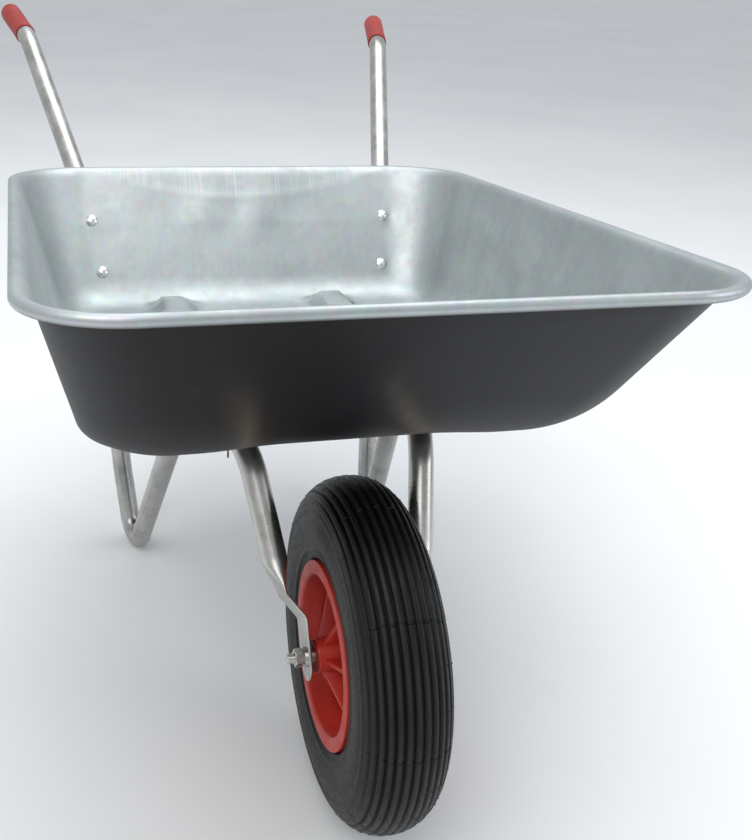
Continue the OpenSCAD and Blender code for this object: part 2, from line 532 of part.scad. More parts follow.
module tyre() color("dimgray") on_axle() rotate_extrude($fn = 96)
    polygon(concat(tyre_out, [[wheel_r, 0]], flipx(tyre_out),
                   flipx([for (i = [len(tyre_in) - 1 : -1 : 0]) tyre_in[i]]), [[wheel_r - 7.5, 0]], [for (i = [len(tyre_in) - 1 : -1 : 0]) tyre_in[i]]));
tube_mid = wheel_r - 50;  tube_sec = 36;
module inner_tube() color("black") on_axle() rotate_extrude($fn = 96) translate([tube_mid, 0]) difference() {
    circle(r = tube_sec);
    circle(r = tube_sec - 2);
}
module at_valve() on_axle() translate([0, 0, valve_x]) rotate([0, 90, 45]) children();
// the stem stops against the skin of the inner tube
v_in = tube_mid - sqrt(tube_sec * tube_sec - (valve_x - 4) * (valve_x - 4)) - 0.2;
module valve_stem() color("goldenrod") at_valve() difference() {
    translate([0, 0, dish_r - 26]) cylinder(h = v_in - dish_r + 26, d = 8);
    translate([0, 0, dish_r - 27]) cylinder(h = 80, d = 3);
}
module valve_cap() color("black") at_valve() translate([0, 0, dish_r - 31]) difference() {
    cylinder(h = 12, d = 11);
    translate([0, 0, 5]) cylinder(h = 9, d = 8.2);
}

tray();
frame_tube_left();
frame_tube_right();
leg_left();
leg_right();
grip_left();
grip_right();
wall_bolts_upper();
wall_bolts_lower();
floor_bolts();
bolt_washers();
bolt_nuts();
axle_bolt();
axle_nut();
axle_washers();
axle_sleeve();
hub_bush_left();
hub_bush_right();
wheel_rim();
tyre();
inner_tube();
valve_stem();
valve_cap();
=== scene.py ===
import bpy
import bmesh
import math
import random
import numpy as np
from mathutils import Matrix, Vector


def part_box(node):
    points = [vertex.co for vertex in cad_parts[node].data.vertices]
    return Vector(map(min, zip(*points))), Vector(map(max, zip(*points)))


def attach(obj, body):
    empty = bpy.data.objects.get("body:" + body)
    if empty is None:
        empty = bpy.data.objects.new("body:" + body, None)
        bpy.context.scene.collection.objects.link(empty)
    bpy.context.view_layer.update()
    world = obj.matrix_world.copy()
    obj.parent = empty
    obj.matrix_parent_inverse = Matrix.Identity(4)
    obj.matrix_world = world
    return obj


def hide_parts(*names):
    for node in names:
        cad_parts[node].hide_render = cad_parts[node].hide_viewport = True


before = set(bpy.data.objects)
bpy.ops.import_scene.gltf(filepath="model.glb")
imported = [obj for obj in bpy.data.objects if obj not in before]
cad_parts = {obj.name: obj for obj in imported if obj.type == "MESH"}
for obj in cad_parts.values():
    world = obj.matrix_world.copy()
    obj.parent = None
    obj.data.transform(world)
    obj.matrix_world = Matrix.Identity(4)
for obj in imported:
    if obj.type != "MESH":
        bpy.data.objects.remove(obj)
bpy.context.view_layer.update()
rng = random.Random(7)

# ------------------------------------------------------------------ frame
# Everything below is worked out in millimetres measured from the ground
# under the wheel (x across, y rearwards, z up) and then put in the part frame.
_lo, _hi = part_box("tyre")
Y0 = (_lo.y + _hi.y) / 2


def to_part(p):
    p = np.asarray(p, float) / 1000.0
    p = p.copy()
    p[..., 1] += Y0
    return p


def unit(v):
    v = np.asarray(v, float)
    return v / np.linalg.norm(v, axis=-1, keepdims=True)


def smooth(t):
    t = np.clip(t, 0, 1)
    return t * t * (3 - 2 * t)


def mesh_object(name, verts, faces, mats, face_mat=None, uv=None, attrs=None, shade_smooth=True, mm=True):
    me = bpy.data.meshes.new(name)
    v = to_part(verts) if mm else np.asarray(verts, float)
    me.from_pydata([tuple(q) for q in v], [], [tuple(int(i) for i in f) for f in faces])
    me.update()
    for m in mats:
        me.materials.append(m)
    if face_mat is not None:
        me.polygons.foreach_set("material_index", np.asarray(face_mat, np.int32))
    me.polygons.foreach_set("use_smooth", np.full(len(me.polygons), shade_smooth))
    if uv is not None:
        layer = me.uv_layers.new(name="UVMap")
        idx = np.zeros(len(me.loops), np.int32)
        me.loops.foreach_get("vertex_index", idx)
        layer.data.foreach_set("uv", np.asarray(uv, np.float32)[idx].ravel())
    for key, val in (attrs or {}).items():
        a = me.attributes.new(key, "FLOAT", "POINT")
        a.data.foreach_set("value", np.asarray(val, np.float32))
    o = bpy.data.objects.new(name, me)
    bpy.context.scene.collection.objects.link(o)
    return o


def outward(o):
    bm = bmesh.new()
    bm.from_mesh(o.data)
    bmesh.ops.remove_doubles(bm, verts=bm.verts, dist=1e-7)
    bmesh.ops.recalc_face_normals(bm, faces=bm.faces)
    bm.to_mesh(o.data)
    bm.free()
    o.data.update()
    return o


def join_pieces(name, objs):
    bm = bmesh.new()
    for o in objs:
        bm.from_mesh(o.data)
    me = bpy.data.meshes.new(name)
    bm.to_mesh(me)
    bm.free()
    for m in objs[0].data.materials:
        me.materials.append(m)
    for o in objs:
        bpy.data.objects.remove(o)
    out = bpy.data.objects.new(name, me)
    bpy.context.scene.collection.objects.link(out)
    return out


# ------------------------------------------------------------------ materials
class Mat:
    def __init__(self, name):
        self.m = bpy.data.materials.new(name)
        self.m.use_nodes = True
        self.t = self.m.node_tree
        self.b = next(n for n in self.t.nodes if n.type == "BSDF_PRINCIPLED")
        self.coord = self.t.nodes.new("ShaderNodeTexCoord")

    def set(self, **kw):
        for k, v in kw.items():
            self.b.inputs[k.replace("_", " ")].default_value = v
        return self

    def node(self, kind, **kw):
        n = self.t.nodes.new(kind)
        for k, v in kw.items():
            setattr(n, k, v)
        return n

    def link(self, a, b):
        self.t.links.new(a, b)

    def mapped(self, scale=(1, 1, 1), source="Object", rot=(0, 0, 0)):
        mp = self.node("ShaderNodeMapping")
        mp.inputs["Scale"].default_value = scale
        mp.inputs["Rotation"].default_value = rot
        self.link(self.coord.outputs[source], mp.inputs["Vector"])
        return mp.outputs["Vector"]

    def noise(self, scale, detail=4, rough=0.55, stretch=(1, 1, 1), source="Object", distortion=0.0, rot=(0, 0, 0)):
        n = self.node("ShaderNodeTexNoise")
        n.inputs["Scale"].default_value = scale
        n.inputs["Detail"].default_value = detail
        n.inputs["Roughness"].default_value = rough
        n.inputs["Distortion"].default_value = distortion
        self.link(self.mapped(stretch, source, rot), n.inputs["Vector"])
        return n.outputs["Fac"]

    def voronoi(self, scale, feature="F1", stretch=(1, 1, 1), out="Color"):
        n = self.node("ShaderNodeTexVoronoi", feature=feature)
        n.inputs["Scale"].default_value = scale
        self.link(self.mapped(stretch), n.inputs["Vector"])
        return n.outputs[out]

    def ramp(self, fac, stops):
        n = self.node("ShaderNodeValToRGB")
        el = n.color_ramp.elements
        while len(el) < len(stops):
            el.new(0.5)
        for e, (p, c) in zip(el, stops):
            e.position = p
            e.color = (*c, 1) if len(c) == 3 else c
        self.link(fac, n.inputs["Fac"])
        return n.outputs["Color"]

    def grey(self, fac, lo, hi, p0=0.3, p1=0.7):
        n = self.node("ShaderNodeMapRange", interpolation_type="SMOOTHSTEP")
        n.inputs["From Min"].default_value = p0
        n.inputs["From Max"].default_value = p1
        n.inputs["To Min"].default_value = lo
        n.inputs["To Max"].default_value = hi
        self.link(fac, n.inputs["Value"])
        return n.outputs["Result"]

    def math(self, op, a, b=None):
        n = self.node("ShaderNodeMath", operation=op)
        for i, v in enumerate((a, b)):
            if v is None:
                continue
            if hasattr(v, "is_output") or hasattr(v, "links"):
                self.link(v, n.inputs[i])
            else:
                n.inputs[i].default_value = v
        return n.outputs[0]

    def mix(self, fac, a, b, blend="MIX"):
        n = self.node("ShaderNodeMix", data_type="RGBA", blend_type=blend)
        ins = {"Factor": fac, "A": a, "B": b}
        for key, v in ins.items():
            sock = next(s for s in n.inputs if s.name == key and s.enabled)
            if hasattr(v, "links"):
                self.link(v, sock)
            elif key == "Factor":
                sock.default_value = v
            else:
                sock.default_value = (*v, 1)
        return next(s for s in n.outputs if s.enabled)

    def attr(self, name):
        n = self.node("ShaderNodeAttribute", attribute_name=name)
        return n.outputs["Fac"]

    def bump(self, *layers):
        prev = None
        for height, strength, dist in layers:
            n = self.node("ShaderNodeBump")
            n.inputs["Strength"].default_value = strength
            n.inputs["Distance"].default_value = dist
            self.link(height, n.inputs["Height"])
            if prev is not None:
                self.link(prev, n.inputs["Normal"])
            prev = n.outputs["Normal"]
        self.link(prev, self.b.inputs["Normal"])

    def base(self, c):
        self.link(c, self.b.inputs["Base Color"])

    def rough(self, r):
        self.link(r, self.b.inputs["Roughness"])


def tray_material():
    m = Mat("tray_galvanised")
    shade = m.attr("shade")
    scr = m.attr("scratch")
    big = m.noise(3.2, 3, 0.5)
    cloud = m.noise(17, 5, 0.6, distortion=0.4)
    steel = m.ramp(big, [(0.25, (0.38, 0.415, 0.42)), (0.5, (0.49, 0.525, 0.53)), (0.78, (0.58, 0.61, 0.61))])
    steel = m.mix(m.grey(cloud, 0.0, 0.35, 0.35, 0.75), steel, (0.38, 0.41, 0.41))
    sp = m.voronoi(95)
    steel = m.mix(0.05, steel, sp, "OVERLAY")
    flank = m.attr("flank")
    streak = m.noise(1, 3, 0.6, stretch=(420, 6, 6))
    lines = m.math("MULTIPLY", m.grey(streak, 0, 1, 0.52, 0.66), scr)
    streak_side = m.noise(1, 3, 0.6, stretch=(6, 420, 6))
    lines = m.math("ADD", lines, m.math("MULTIPLY", m.grey(streak_side, 0, 1, 0.52, 0.66), flank))
    steel = m.mix(m.math("MULTIPLY", lines, 0.45), steel, (0.72, 0.73, 0.72))
    fine = m.noise(1, 4, 0.65, stretch=(60, 60, 5))
    steel = m.mix(m.grey(fine, 0.0, 0.10, 0.45, 0.7), steel, (0.66, 0.68, 0.69))
    # brownish painted highlights low on the outside, over the tubes
    painted_warm_highlight = m.attr("painted_warm_highlight")
    # near-black outer skin: painted shade and painted reflection of a dark surround
    d1 = m.noise(5, 4, 0.6)
    dark = m.ramp(d1, [(0.3, (0.0040, 0.0042, 0.0047)), (0.7, (0.0085, 0.0088, 0.0100))])
    # the side attribute is painted light: the outer skin is lighter towards +x and on the flanks, less so just under
    # the rolled edge
    side = m.attr("side")
    dark = m.mix(side, dark, (0.026, 0.026, 0.030))
    dark = m.mix(m.math("MULTIPLY", painted_warm_highlight, 0.85), dark, (0.110, 0.088, 0.062))
    dust = m.noise(60, 6, 0.7)
    dark = m.mix(m.grey(dust, 0.0, 0.20, 0.56, 0.75), dark, (0.032, 0.031, 0.032))
    # shade 0 is the inner steel, shade 1 the outer skin with its painted dark colour
    m.base(m.mix(shade, steel, dark))
    met = m.node("ShaderNodeMapRange")
    met.inputs["To Min"].default_value = 0.85
    met.inputs["To Max"].default_value = 0.0
    m.set(Specular_IOR_Level=0.28)
    m.link(shade, met.inputs["Value"])
    m.link(met.outputs["Result"], m.b.inputs["Metallic"])
    r = m.grey(cloud, 0.42, 0.54)
    r2 = m.node("ShaderNodeMapRange")
    m.link(shade, r2.inputs["Value"])
    m.link(r, r2.inputs["To Min"])
    r2.inputs["To Max"].default_value = 0.50
    m.rough(m.math("ADD", r2.outputs["Result"], m.math("MULTIPLY", lines, 0.12)))
    m.bump((m.noise(9, 2, 0.4), 0.30, 0.004), (cloud, 0.12, 0.0010), (fine, 0.10, 0.0003), (m.noise(700, 3, 0.6), 0.10, 0.0002))
    return m.m


def tube_material(name, lo, hi, dark):
    m = Mat(name)
    a = m.noise(26, 4, 0.55)
    s = m.noise(1, 4, 0.6, stretch=(46, 5.5, 1), source="UV")
    c = m.ramp(a, [(0.28, lo), (0.72, hi)])
    c = m.mix(m.grey(s, 0.0, 0.32, 0.45, 0.72), c, dark)
    c = m.mix(0.05, c, m.voronoi(240), "OVERLAY")
    nick = m.noise(130, 6, 0.75)
    c = m.mix(m.grey(nick, 0.0, 0.5, 0.66, 0.74), c, (0.20, 0.175, 0.14))
    m.base(c)
    m.set(Metallic=0.92)
    m.rough(m.grey(a, 0.24, 0.40))
    m.bump((s, 0.16, 0.0004), (a, 0.12, 0.0006), (m.noise(900, 3, 0.6), 0.08, 0.0001))
    return m.m


def rubber_material():
    m = Mat("tyre_rubber_moulded")
    a = m.noise(11, 5, 0.6)
    b = m.noise(220, 5, 0.7)
    c = m.ramp(a, [(0.3, (0.0014, 0.0014, 0.0015)), (0.72, (0.0034, 0.0034, 0.0036))])
    c = m.mix(m.grey(b, 0.0, 0.30, 0.55, 0.75), c, (0.010, 0.0097, 0.0095))
    # tread ridge tops mixed lighter: painted highlight
    c = m.mix(m.math("MULTIPLY", m.attr("rib"), m.grey(a, 0.05, 0.5, 0.35, 0.7)), c, (0.040, 0.040, 0.041))
    m.base(c)
    m.rough(m.grey(b, 0.36, 0.54))
    m.set(Specular_IOR_Level=0.24)
    m.bump((b, 0.18, 0.0004), (m.noise(1400, 3, 0.6), 0.16, 0.0002), (a, 0.1, 0.001))
    return m.m


def plastic_material(name, lo, hi, worn, rough_lo, rough_hi, grain=620, spec=0.45):
    m = Mat(name)
    a = m.noise(13, 4, 0.55)
    g = m.noise(grain, 3, 0.5)
    c = m.ramp(a, [(0.28, lo), (0.74, hi)])
    w = m.noise(75, 7, 0.75)
    c = m.mix(m.grey(w, 0.0, 0.35, 0.60, 0.74), c, worn)
    m.base(c)
    m.rough(m.grey(m.noise(40, 4, 0.6), rough_lo, rough_hi))
    m.set(Specular_IOR_Level=spec)
    m.bump((g, 0.16, 0.00025), (m.noise(45, 3, 0.5), 0.10, 0.0008))
    return m.m


def zinc_material(name, lo, hi, r0, r1):
    m = Mat(name)
    a = m.noise(85, 4, 0.6)
    c = m.ramp(a, [(0.3, lo), (0.7, hi)])
    s = m.noise(420, 6, 0.7)
    c = m.mix(m.grey(s, 0.0, 0.35, 0.58, 0.72), c, (0.30, 0.27, 0.22))
    m.base(c)
    m.set(Metallic=0.95)
    m.rough(m.grey(a, r0, r1))
    m.bump((s, 0.10, 0.0002), (a, 0.10, 0.0004))
    return m.m


M_TRAY = tray_material()
M_TUBE = tube_material("tube_zinc_bright", (0.40, 0.385, 0.36), (0.62, 0.61, 0.585), (0.27, 0.25, 0.22))
# legs: a darker copy of the tube zinc, painted shade for the dimmer light under the tray
M_LEG_PAINTED_SHADE = tube_material("leg_zinc_painted_shade", (0.33, 0.325, 0.31), (0.55, 0.545, 0.53), (0.22, 0.21, 0.19))
M_TYRE = rubber_material()
M_RIM = plastic_material("rim_red_plastic", (0.38, 0.020, 0.011), (0.50, 0.032, 0.017), (0.54, 0.070, 0.045), 0.36, 0.52)
M_GRIP = plastic_material("grip_red_plastic", (0.28, 0.019, 0.013), (0.37, 0.031, 0.022), (0.45, 0.08, 0.055), 0.40, 0.58, grain=900)
M_ZINC = zinc_material("fastener_zinc", (0.52, 0.51, 0.48), (0.74, 0.73, 0.70), 0.20, 0.34)
M_DOME = zinc_material("bolt_head_bright_zinc", (0.66, 0.66, 0.65), (0.88, 0.88, 0.87), 0.12, 0.22)
M_NYLON = plastic_material("bush_red_nylon", (0.20, 0.012, 0.008), (0.30, 0.018, 0.011), (0.34, 0.05, 0.04), 0.45, 0.6)
M_BRASS = zinc_material("valve_brass", (0.42, 0.28, 0.09), (0.60, 0.42, 0.16), 0.25, 0.40)
M_CAP = plastic_material("valve_cap_plastic", (0.008, 0.008, 0.009), (0.018, 0.018, 0.019), (0.05, 0.05, 0.05), 0.4, 0.55)
M_TUBERUB = plastic_material("inner_tube_rubber", (0.008, 0.008, 0.009), (0.02, 0.02, 0.02), (0.05, 0.05, 0.05), 0.5, 0.65)

CAD_LOOK = {
    "wall_bolts_upper": M_DOME, "wall_bolts_lower": M_DOME, "floor_bolts": M_DOME,
    "bolt_washers": M_ZINC, "bolt_nuts": M_ZINC, "axle_bolt": M_ZINC, "axle_nut": M_ZINC,
    "axle_washers": M_ZINC, "axle_sleeve": M_ZINC, "hub_bush_left": M_NYLON, "hub_bush_right": M_NYLON,
    "valve_stem": M_BRASS, "valve_cap": M_CAP, "inner_tube": M_TUBERUB,
    "tray": M_TRAY, "frame_tube_left": M_TUBE, "frame_tube_right": M_TUBE, "leg_left": M_LEG_PAINTED_SHADE, "leg_right": M_LEG_PAINTED_SHADE,
    "grip_left": M_GRIP, "grip_right": M_GRIP, "wheel_rim": M_RIM, "tyre": M_TYRE,
}
for node, mat in CAD_LOOK.items():
    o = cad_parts[node]
    if not o.material_slots:
        o.data.materials.append(mat)
    for s in o.material_slots:
        s.material = mat

# ------------------------------------------------------------------ shared geometry of the barrow
FLOOR_A, FLOOR_B = np.array([47.0, 419.0]), np.array([664.0, 383.0])
WALL_TOP = np.array([775.0, 559.0])
SHEET, FIT, TR = 1.0, 0.2, 15.0
fdir = unit(FLOOR_B - FLOOR_A)
fout = np.array([fdir[1], -fdir[0]])
wdir = unit(WALL_TOP - FLOOR_B)
wout = np.array([wdir[1], -wdir[0]])
OFF = SHEET + FIT + TR
LEG_OFF = TR + FIT / 2 + 1.6
WHEEL_R = 200.0


def meet(p, d, q, e):
    k = ((q[0] - p[0]) * e[1] - (q[1] - p[1]) * e[0]) / (d[0] * e[1] - d[1] * e[0])
    return p + k * d


def axis_z(y):
    a = FLOOR_A + fout * OFF
    return a[1] + (y - a[0]) * fdir[1] / fdir[0]


def plan_x(y):
    return 105 + 0.2137 * (y - 142)


def on_wall(s):
    return FLOOR_B + wdir * s


fork_top = np.array([105.0, 142.0, axis_z(142.0)])
rise = unit(np.array([fork_top[1], fork_top[2] - WHEEL_R]))
fork_len = np.hypot(fork_top[1], fork_top[2] - WHEEL_R)


def fork_at(s, x):
    return np.array([x, s * rise[0], WHEEL_R + s * rise[1]])


def fork_x_at(s):
    return 105 - (fork_len - s) * 0.127


ryz = meet(FLOOR_A + fout * OFF, fdir, FLOOR_B + wout * OFF, wdir)
rear_low = np.array([plan_x(ryz[0]), ryz[0], ryz[1]])
hp, hd = np.array([824.0, 556.5]), unit(np.array([242.0, 173.0]))
kyz = meet(FLOOR_B + wout * OFF, wdir, hp, hd)
knee = np.array([241.2, kyz[0], kyz[1]])
gyz = hp + hd * ((1053 - hp[0]) / hd[0])
grip_corner = np.array([310.3, gyz[0], gyz[1]])
grip_end = np.array([338.5, 1184.0, 749.0])
grip_dir = unit(grip_end - grip_corner)
GRIP_LEN, GRIP_R, END_R, GRIP_CAP = 117.0, 17.0, 12.0, 9.0


def wall_x(s):
    q = on_wall(s) + wout * OFF
    return rear_low[0] + (knee[0] - rear_low[0]) * (q[0] - rear_low[1]) / (knee[1] - rear_low[1])


LOW_S, HIGH_S = 51.0, 132.0
SEATS = [(wall_x(LOW_S), LOW_S, 0.6), (wall_x(HIGH_S), HIGH_S, 1.2)]


# ------------------------------------------------------------------ tray
def arc_pts(a, b, c, r, n):
    u, v = unit(a - b), unit(c - b)
    phi = math.acos(float(u @ v))
    t = r / math.tan(phi / 2)
    s = b + u * t
    m = b + unit(u + v) * (r / math.sin(phi / 2))
    e = b + v * t
    p, q = s - m, e - m
    turn = math.pi - phi
    sg = 1 if p[0] * q[1] - p[1] * q[0] > 0 else -1
    out = []
    for i in range(n + 1):
        w = sg * turn * i / n
        out.append(m + np.array([p[0] * math.cos(w) - p[1] * math.sin(w), p[0] * math.sin(w) + p[1] * math.cos(w)]))
    return out


NF, NC, NS, NR = 14, 30, 60, 16


def loop(yf, wf, rf, yr, wr, rr):
    a, b, c, d = (np.array(q, float) for q in ((0, yf), (wf, yf), (wr, yr), (0, yr)))
    f, g = arc_pts(a, b, c, rf, NC), arc_pts(b, c, d, rr, NC)
    half = [a + (f[0] - a) * k / NF for k in range(NF)] + f
    half += [f[-1] + (g[0] - f[-1]) * k / NS for k in range(1, NS)] + g
    half += [g[-1] + (d - g[-1]) * k / NR for k in range(1, NR + 1)]
    half = np.array(half)
    back = half[-2:0:-1] * [-1, 1]
    return np.vstack([half, back])


RIM_YF, RIM_YR, RIM_IN = -122.0, 787.0, 12.0
rim2 = loop(RIM_YF, 341, 94, RIM_YR, 350, 111)
top2 = loop(RIM_YF + RIM_IN, 341 - RIM_IN, 94 - RIM_IN, WALL_TOP[0], 350 - RIM_IN, 111 - RIM_IN)
low2 = loop(FLOOR_A[0], 285, 93, FLOOR_B[0], 287, 60)
NST = len(rim2)


def rim_z(y):
    return 655 + (559 - 655) * (y - RIM_YF) / (RIM_YR - RIM_YF)


def floor_z(y):
    return FLOOR_A[1] + (FLOOR_B[1] - FLOOR_A[1]) * (y - FLOOR_A[0]) / (FLOOR_B[0] - FLOOR_A[0])


K = np.column_stack([rim2, rim_z(rim2[:, 1])])
A = np.column_stack([top2, rim_z(top2[:, 1])])
B = np.column_stack([low2, floor_z(low2[:, 1])])
tan2 = unit(np.roll(low2, -1, 0) - np.roll(low2, 1, 0))
O = np.column_stack([tan2[:, 1], -tan2[:, 0], np.zeros(NST)])
UP = np.array([0, 0, 1.0])
ff = np.clip((B[:, 1] - FLOOR_A[0]) / 100, 0, 1)
rr_ = np.clip((FLOOR_B[0] - B[:, 1]) / 95, 0, 1)
cut = (123 * (1 - ff) + 55 * ff) * rr_ + 40 * (1 - rr_)
D = unit(A - B)
NW = unit(O * D[:, 2:3] - UP * np.sum(D * O, 1, keepdims=True))
W = B + D * cut[:, None]
# the inset stays under the corner radius, so that the loop never folds over itself
inset = np.minimum(cut * 0.9, 84 + 27 * smooth((170 - np.abs(B[:, 0])) / 90))
Fq = B - O * inset[:, None]
F = np.column_stack([Fq[:, 0], Fq[:, 1], floor_z(Fq[:, 1])])


def bez(a, b, c, s):
    return (1 - s) ** 2 * a + 2 * s * (1 - s) * b + s * s * c


def mitre(n, m):
    return (n + m) / (1 + np.sum(n * m, -1, keepdims=True))


BR = 6.3
q_ = BR - SHEET
w1 = A - D * 9
a2 = A + D * (BR / D[:, 2:3])
k1 = K + UP * BR
k2 = K + UP * q_
w1o = w1 + NW * SHEET
a2o = a2 + mitre(NW, -UP) * SHEET
wo = W + NW * SHEET
bo = B + mitre(NW, -UP) * SHEET
fo = F - UP * SHEET
rings, shade, band = [], [], []


def add(r, sh, bd=0.0):
    rings.append(r)
    shade.append(np.full(NST, sh))
    band.append(np.full(NST, bd))


for s in np.linspace(0, 1, 18)[:-1]:
    add(bez(F, B, W, s), 0)
for s in np.linspace(0, 1, 30)[:-1]:
    add(W + (w1 - W) * s, 0)
for s in np.linspace(0, 1, 9)[:-1]:
    add(bez(w1, a2, k1, s), 0)
# the bead's underside fades into the outer skin's dark colour: painted shade under the bead
for g in np.linspace(90, -135, 26):
    add(K + (O * math.cos(math.radians(g)) + UP * math.sin(math.radians(g))) * BR, float(smooth((-8 - g) / 62)) * 0.9)
# from here the outer skin carries the full painted dark shade colour
for g in np.linspace(-135, 90, 16):
    add(K + (O * math.cos(math.radians(g)) + UP * math.sin(math.radians(g))) * q_, 1)
for s in np.linspace(0, 1, 6)[1:]:
    add(bez(k2, a2o, w1o, s), 1)
for s in np.linspace(0, 1, 30)[1:]:
    add(w1o + (wo - w1o) * s, 1)
for s in np.linspace(0, 1, 18)[1:]:
    add(bez(wo, bo, fo, s), 1)
# floor, from the blend's edge to a line along the middle
C0 = np.column_stack([np.zeros(NST), np.clip(F[:, 1], 262, 520), np.zeros(NST)])
C0[:, 2] = floor_z(C0[:, 1])
NT = 44
inner, outer = [], []
for t in np.linspace(0, 1, NT + 1)[1:]:
    p = F + (C0 - F) * t
    inner.append(p)
    outer.append(p - UP * SHEET)
sections = inner[::-1] + rings + outer
sh_all = [np.zeros(NST)] * NT + shade + [np.ones(NST)] * NT
V = np.array(sections)
SH = np.array(sh_all)
# ---- pressed features, as movements of both skins together
X, Y, Z = V[..., 0], V[..., 1], V[..., 2]
disp = np.zeros(V.shape)
ax, ay = np.abs(X), Y - 500
u_ = np.clip((np.abs(ax - 124) - 17) / 19, 0, None)
v_ = np.clip((np.abs(ay) - 140) / 15, 0, None)
q2 = np.hypot(u_, v_)
on_floor = smooth((floor_z(Y) + 28 - Z - np.where(SH > 0.5, SHEET, 0.0)) / 27)
disp[..., 2] += 15.8 * (1 - smooth(q2)) * on_floor
# the rear wall: a drawn arc, a second faint line, soft dents, flats under the bolts
sw = (Y - FLOOR_B[0]) * wdir[0] + (Z - FLOOR_B[1]) * wdir[1]
dev = -((Y - FLOOR_B[0]) * wout[0] + (Z - FLOOR_B[1]) * wout[1])
rear = smooth((Y - 640) / 30) * smooth((sw - 2) / 18) * smooth((225 - sw) / 14) * smooth((300 - ax) / 40)
arc_s = 166 + 46 * (X / 240) ** 2
wn = np.array([0, -wout[0], -wout[1]])


def bell(t, w):
    return np.exp(-((t / w) ** 2))


wall_h = 0.55 * bell(sw - arc_s, 5.0) - 0.4 * smooth((sw - arc_s) / 12) + 0.30 * bell(sw - 127, 7)
wall_h += 2.8 * bell(X + 60, 27) * bell(sw - 148, 34) - 2.4 * bell(X + 14, 20) * bell(sw - 138, 36)
wall_h += 2.9 * bell(X - 33, 25) * bell(sw - 150, 34) - 1.6 * bell(X - 84, 26) * bell(sw - 150, 34) - 1.0 * bell(X + 108, 34) * bell(sw - 158, 32)
wall_h += 0.5 * np.sin(X / 31.0 + 0.7) * bell(sw - 175, 40)
disp += (wall_h * rear)[..., None] * wn
for (bx, bs, lift) in SEATS:
    r = np.hypot(ax - bx, sw - bs)
    k = (1 - smooth((r - 11.5) / 9.0)) * (Y > 640)
    d = (lift - dev - np.where(SH > 0.5, SHEET, 0.0)) * k
    disp += d[..., None] * wn
# side walls: one shallow drawn crease each side and some long soft waves
arc_z = 511 + 7.3e-4 * (Y - 400) ** 2
sidew = smooth((ax - 292) / 12) * smooth((Z - 440) / 30) * smooth((rim_z(Y) - 18 - Z) / 20) * smooth((690 - Y) / 60) * smooth((Y - 40) / 60)
side_h = 0.9 * smooth((Z - arc_z) / 9) + 0.35 * np.sin(Y / 47.0) * np.cos(Z / 39.0)
disp[..., 0] += -np.sign(X) * side_h * sidew
V = V + disp
scratch = rear * (smooth((sw - arc_s) / 8) * 1.0 + 0.12)
scratch = np.clip(scratch + 0.02, 0, 1)
flank = np.clip(0.75 * sidew * (0.25 + 0.75 * smooth((Z - arc_z) / 10)), 0, 1)
outm = SH > 0.5
# painted light on the dark outer skin: lighter towards +x and on the flanks, with a painted shade band just under the
# rolled edge
painted_side_light = np.clip(smooth((X + 40) / 330) * 0.55 + 0.45 * smooth((ax - 250) / 70), 0, 1)
# 0 just under the rolled edge: painted shade band
below = smooth((rim_z(Y) - Z - 14 - 16 * smooth((300 - np.abs(X)) / 300)) / 5)
painted_side_light = painted_side_light * (0.25 + 0.75 * below)
hz = smooth((560 - Z) / 120)
# painted highlights: two soft brownish streaks low on the front outside, over the fork tubes
left_x = -136 - 20 * (Z - 491) / 77
right_x = np.interp(Z, [460, 480, 523, 555], [59, 41, 13, -6])
painted_warm_highlight_mask = (bell(X - left_x, 12) + bell(X - right_x, 12)) * smooth((600 - Z) / 150) * (Y < 160)
nr = V.shape[0]
verts = V.reshape(-1, 3)
faces = []
for k in range(nr - 1):
    for j in range(NST):
        j2 = (j + 1) % NST
        faces.append((k * NST + j, k * NST + j2, (k + 1) * NST + j2, (k + 1) * NST + j))
tray = mesh_object("tray_pressed_sheet", verts, faces, [M_TRAY], attrs={
    "shade": SH.ravel(), "scratch": scratch.ravel(), "flank": flank.ravel(), "side": painted_side_light.ravel(), "painted_warm_highlight": np.clip(painted_warm_highlight_mask, 0, 1).ravel()})
bm = bmesh.new()
bm.from_mesh(tray.data)
bmesh.ops.remove_doubles(bm, verts=bm.verts, dist=2e-6)
bmesh.ops.dissolve_degenerate(bm, edges=bm.edges, dist=1e-6)
bmesh.ops.recalc_face_normals(bm, faces=bm.faces)
bm.to_mesh(tray.data)
bm.free()
for p in tray.data.polygons:
    p.use_smooth = True
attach(tray, "frame")
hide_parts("tray")


# ------------------------------------------------------------------ swept tubes
def filleted(pts, radii, step=10.0, turn=4.0):
    """Points along a 3D path whose corners are rounded."""
    out = [np.array(pts[0], float)]
    for i in range(1, len(pts)):
        p = np.array(pts[i], float)
        if i < len(pts) - 1 and radii[i] > 0:
            d1, d2 = unit(p - np.array(pts[i - 1])), unit(np.array(pts[i + 1]) - p)
            ang = math.acos(max(-1, min(1, float(d1 @ d2))))
            r = radii[i]
            c = r * math.tan(ang / 2)
            s = p - d1 * c
            inward = unit(d2 - (d2 @ d1) * d1)
            m = s + inward * r
            n = max(2, int(math.degrees(ang) / turn) + 1)
            arc = [m + (-inward * math.cos(ang * k / n) + d1 * math.sin(ang * k / n)) * r for k in range(n + 1)]
        else:
            arc = [p]
        q = out[-1]
        gap = float(np.linalg.norm(arc[0] - q))
        for k in range(1, int(gap / step) + 1):
            if k * step < gap - 1:
                out.append(q + (arc[0] - q) * (k * step / gap))
        out += arc
    keep = [out[0]]
    for q in out[1:]:
        if np.linalg.norm(q - keep[-1]) > 0.15:
            keep.append(q)
    return np.array(keep)


